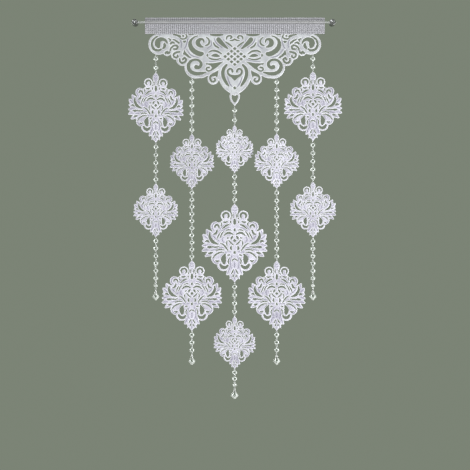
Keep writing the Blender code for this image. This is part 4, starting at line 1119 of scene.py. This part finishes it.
class HANGING_OT_bead_strings(Operator):
    """Make the faceted beads and the wire links between them."""

    bl_idname = "hanging.bead_strings"
    bl_label = "Bead strings"

    size = (1.0, 1.0, 0.86)       # of a bead, in shares of its width, depth and width
    small_size = (0.86, 1.0, 0.58)
    depth = 0.0028                # half a bead's depth
    # Rings of a bead: share of its half depth, share of its half width, whether half a side ahead
    outlines = (
        (-1.0, 0.52, True), (-0.66, 0.78, False), (-0.10, 1.0, True),
        (0.10, 1.0, True), (0.66, 0.78, False), (1.0, 0.52, True))
    loose = 9                     # how far a bead may be turned, in degrees
    lap = 0.0010                  # how far a link goes into what it holds
    link_turn = 0.8               # how far a link may be turned, in radians
    link_half = 0.0015            # half a link's width
    link_steps = 20
    link_sides = 8

    def execute(self, context):
        settings = context.scene.hanging_beads
        glass, bevels = (
            smooth_finish(name, settings.colour) for name in ("clear bead glass", "bevelled bead glass"))
        wire = smooth_finish("link wire", context.scene.hanging_metal.colour)
        bead = self.bead(settings.width / 2)
        chance = random.Random(11)
        for string, lengths in STRINGS:
            links = []
            for number, beads in enumerate(lengths, 1):
                node = f"beads_{string}_{number}"
                low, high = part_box(node)
                x = (low.x + high.x) / 2
                pitch = (high.z - low.z) / beads
                small = number == len(lengths) and string in SMALL_LAST_BEADS
                places = []
                stops = [(high.z, 0.0)]
                for i in range(beads):
                    z = high.z - (i + 0.5) * pitch
                    turn = Matrix.Rotation(math.radians(chance.uniform(-self.loose, self.loose)), 4, "Z")
                    size = self.small_size if small and i == beads - 1 else self.size
                    places.append(Matrix.Translation((x, 0.0, z)) @ turn @ Matrix.Diagonal((*size, 1.0)))
                    stops.append((z, settings.width / 2 * size[2]))
                stops.append((low.z, 0.0))
                mesh = joined_mesh(f"clear_{node}", bead, places)
                add_piece(mesh, glass, [node])
                mesh.materials.append(bevels)
                # Only the eight-sided tables are quite clear, and a small bead is bevelled all over
                last = len(mesh.polygons) - small * len(bead[1])
                for face in mesh.polygons:
                    face.material_index = int(len(face.vertices) < 8 or face.index >= last)
                for (upper, above), (lower, below) in zip(stops[:-1], stops[1:]):
                    top, foot = upper - above + self.lap, lower + below - self.lap
                    turn = chance.uniform(-self.link_turn, self.link_turn)
                    links.append((x, (top + foot) / 2, (top - foot) / 2, turn))
            add_piece(self.links(f"links_{string}", links, settings.wire / 2), wire)
        return {"FINISHED"}

    def bead(self, half):
        """A flat faceted bead with eight sides, its table facing front and back."""
        wide = half / math.cos(math.pi / 8)
        rings = []
        for depth, share, lead in self.outlines:
            turns = [math.pi * (i + 0.5 * lead) / 4 for i in range(8)]
            rings.append([
                (share * wide * math.cos(t), depth * self.depth, share * wide * math.sin(t)) for t in turns])
        return rings_shape(rings, [lead for *_, lead in self.outlines])

    def links(self, name, links, radius):
        """Small oval wire rings, one mesh for a whole string."""
        verts = []
        faces = []
        for x, z, reach, turn in links:
            place = Matrix.Translation((x, 0.0, z)) @ Matrix.Rotation(turn, 4, "Z")
            first = len(verts)
            for i in range(self.link_steps):
                t = 2 * math.pi * i / self.link_steps
                middle = Vector((self.link_half * math.sin(t), 0.0, reach * math.cos(t)))
                out = Vector((math.sin(t) / self.link_half, 0.0, math.cos(t) / reach)).normalized()
                here = first + i * self.link_sides
                there = first + (i + 1) % self.link_steps * self.link_sides
                for k in range(self.link_sides):
                    s = 2 * math.pi * k / self.link_sides
                    spoke = out * math.cos(s) + Vector((0.0, math.sin(s), 0.0))
                    verts.append(place @ (middle + radius * spoke))
                    after = (k + 1) % self.link_sides
                    faces.append((here + k, here + after, there + after, there + k))
        return new_mesh(name, verts, faces, 180)


class HANGING_OT_drops(Operator):
    """Make the faceted glass drops at the foot of the strings."""

    bl_idname = "hanging.drops"
    bl_label = "Glass drops"

    # Rings of a drop: share of its half depth, then of its outline's width and height
    outlines = ((1.0, 0.36, 0.54), (0.70, 0.68, 0.76), (0.12, 1.0, 1.0))
    # Right side of its outline: share of the length down, share of the half width
    side = ((0.0, 0.12), (0.34, 0.34), (0.58, 0.86), (0.68, 1.0), (0.82, 0.62), (1.0, 0.14))
    middle = 0.52                 # how far down the drop its rings draw together
    stalk = 0.42                  # how far down its stalk reaches, whose glass is painted grey as shade

    def execute(self, context):
        colour = context.scene.hanging_beads.colour
        glass, bevels, stalk = (
            smooth_finish(f"{kind} glass", colour) for kind in ("clear bead", "bevelled bead", "drop stalk"))
        for string, _ in STRINGS:
            node = f"drop_{string}"
            low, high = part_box(node)
            half_x, half_y, length = (high.x - low.x) / 2, (high.y - low.y) / 2, high.z - low.z
            rings = [self.ring(-half_y * y, half_x * wide, length, tall) for y, wide, tall in self.outlines]
            rings += [[(x, -y, z) for x, y, z in ring] for ring in reversed(rings)]
            place = Matrix.Translation(((low.x + high.x) / 2, 0.0, high.z))
            mesh = joined_mesh(f"clear_{node}", rings_shape(rings), [place])
            add_piece(mesh, glass, [node])
            mesh.materials.append(bevels)
            mesh.materials.append(stalk)
            for face in mesh.polygons:
                if len(face.vertices) < 8:
                    face.material_index = 2 if face.center.z > high.z - self.stalk * length else 1
        return {"FINISHED"}

    def ring(self, y, half, length, tall):
        """The drop's outline at a depth: narrow above, widest low down, with a blunt point below."""
        middle = -self.middle * length
        right = [(half * wide, middle + tall * (-length * down - middle)) for down, wide in self.side]
        return [(x, y, z) for x, z in right[::-1]] + [(-x, y, z) for x, z in right]


class HANGING_OT_stage(Operator):
    """Make the pale floor, the soft lights and the camera."""

    bl_idname = "hanging.stage"
    bl_label = "Floor, light and camera"

    # Light, place seen from the middle of the hanging, width, height, watts
    lights = (
        ("key", (1.6, -1.8, -0.35), 1.0, 1.2, 51.0),
        ("fill", (-1.7, -2.2, -0.3), 1.6, 1.6, 21.0),
        ("strip", (0.0, -2.6, 0.8), 2.4, 0.6, 11.0),
        ("back left", (-1.9, 2.8, 0.3), 0.9, 1.8, 32.0),
        ("back right", (1.9, 2.8, 0.3), 0.9, 1.8, 26.0),
        ("top", (0.0, 0.3, 1.9), 2.4, 0.6, 5.0),
    )
    floor_colour = (0.72, 0.72, 0.70)
    floor_edges = (1.6, -1.4, 0.9)     # half its width, its front and its back

    def execute(self, context):
        settings = context.scene.hanging_stage
        self.floor(context, CAD_BOX[0].z - settings.floor_drop)
        self.world(context, settings)
        focus = METRES_PER_PIXEL * Vector((
            PHOTO_SIDE / 2 - PHOTO_ROD[0], 0.0, PHOTO_ROD[1] - PHOTO_SIDE / 2))
        for name, offset, width, height, watts in self.lights:
            light = bpy.data.lights.new(name, "AREA")
            light.shape = "RECTANGLE"
            light.size, light.size_y = width, height
            light.energy = watts
            lamp = bpy.data.objects.new(name, light)
            lamp.location = focus + Vector(offset)
            lamp.rotation_euler = (-Vector(offset)).to_track_quat("-Z", "Y").to_euler()
            context.scene.collection.objects.link(lamp)
        self.camera(context, focus, settings.distance)
        context.scene.view_settings.view_transform = "Standard"
        return {"FINISHED"}

    def floor(self, context, z):
        """A plain pale floor under the hanging."""
        wide, front, back = self.floor_edges
        corners = [(-wide, front, z), (wide, front, z), (wide, back, z), (-wide, back, z)]
        mesh = new_mesh("floor", corners, [(0, 1, 2, 3)])
        mesh.materials.append(smooth_finish("pale floor", self.floor_colour))
        floor = bpy.data.objects.new("floor", mesh)
        context.scene.collection.objects.link(floor)

    @staticmethod
    def world(context, settings):
        """Even light of one colour from all round."""
        world = bpy.data.worlds.new("studio")
        world.use_nodes = True
        background = world.node_tree.nodes["Background"]
        background.inputs["Color"].default_value = (*settings.background, 1.0)
        background.inputs["Strength"].default_value = 1.0
        context.scene.world = world

    @staticmethod
    def camera(context, focus, distance):
        """A level camera straight in front, framed as the picture is."""
        data = bpy.data.cameras.new("camera")
        data.sensor_width = 36.0
        data.lens = data.sensor_width * distance / (PHOTO_SIDE * METRES_PER_PIXEL)
        camera = bpy.data.objects.new("camera", data)
        camera.location = focus + Vector((0.0, -distance, 0.0))
        camera.rotation_euler = (math.pi / 2, 0.0, 0.0)
        context.scene.collection.objects.link(camera)
        context.scene.camera = camera


OPERATORS = (
    HANGING_OT_rod,
    HANGING_OT_heading,
    HANGING_OT_valance,
    HANGING_OT_medallions,
    HANGING_OT_bead_strings,
    HANGING_OT_drops,
    HANGING_OT_stage,
)


class HANGING_PT_panel(Panel):
    """Sizes, colours and pieces of the window hanging."""

    bl_idname = "HANGING_PT_panel"
    bl_label = "Window hanging"
    bl_space_type = "VIEW_3D"
    bl_region_type = "UI"
    bl_category = "Hanging"

    def draw(self, context):
        for name, group in SETTINGS:
            box = self.layout.box()
            for field in group.__annotations__:
                box.prop(getattr(context.scene, name), field)
        for operator in OPERATORS:
            self.layout.operator(operator.bl_idname)


def register():
    for name, group in SETTINGS:
        bpy.utils.register_class(group)
        setattr(bpy.types.Scene, name, PointerProperty(type=group))
    for item in (*OPERATORS, HANGING_PT_panel):
        bpy.utils.register_class(item)


def unregister():
    for item in (HANGING_PT_panel, *reversed(OPERATORS)):
        bpy.utils.unregister_class(item)
    for name, group in reversed(SETTINGS):
        delattr(bpy.types.Scene, name)
        bpy.utils.unregister_class(group)


def main():
    register()
    bpy.ops.hanging.rod()
    bpy.ops.hanging.heading()
    bpy.ops.hanging.valance()
    bpy.ops.hanging.medallions()
    bpy.ops.hanging.bead_strings()
    bpy.ops.hanging.drops()
    bpy.ops.hanging.stage()


if __name__ == "__main__":
    main()
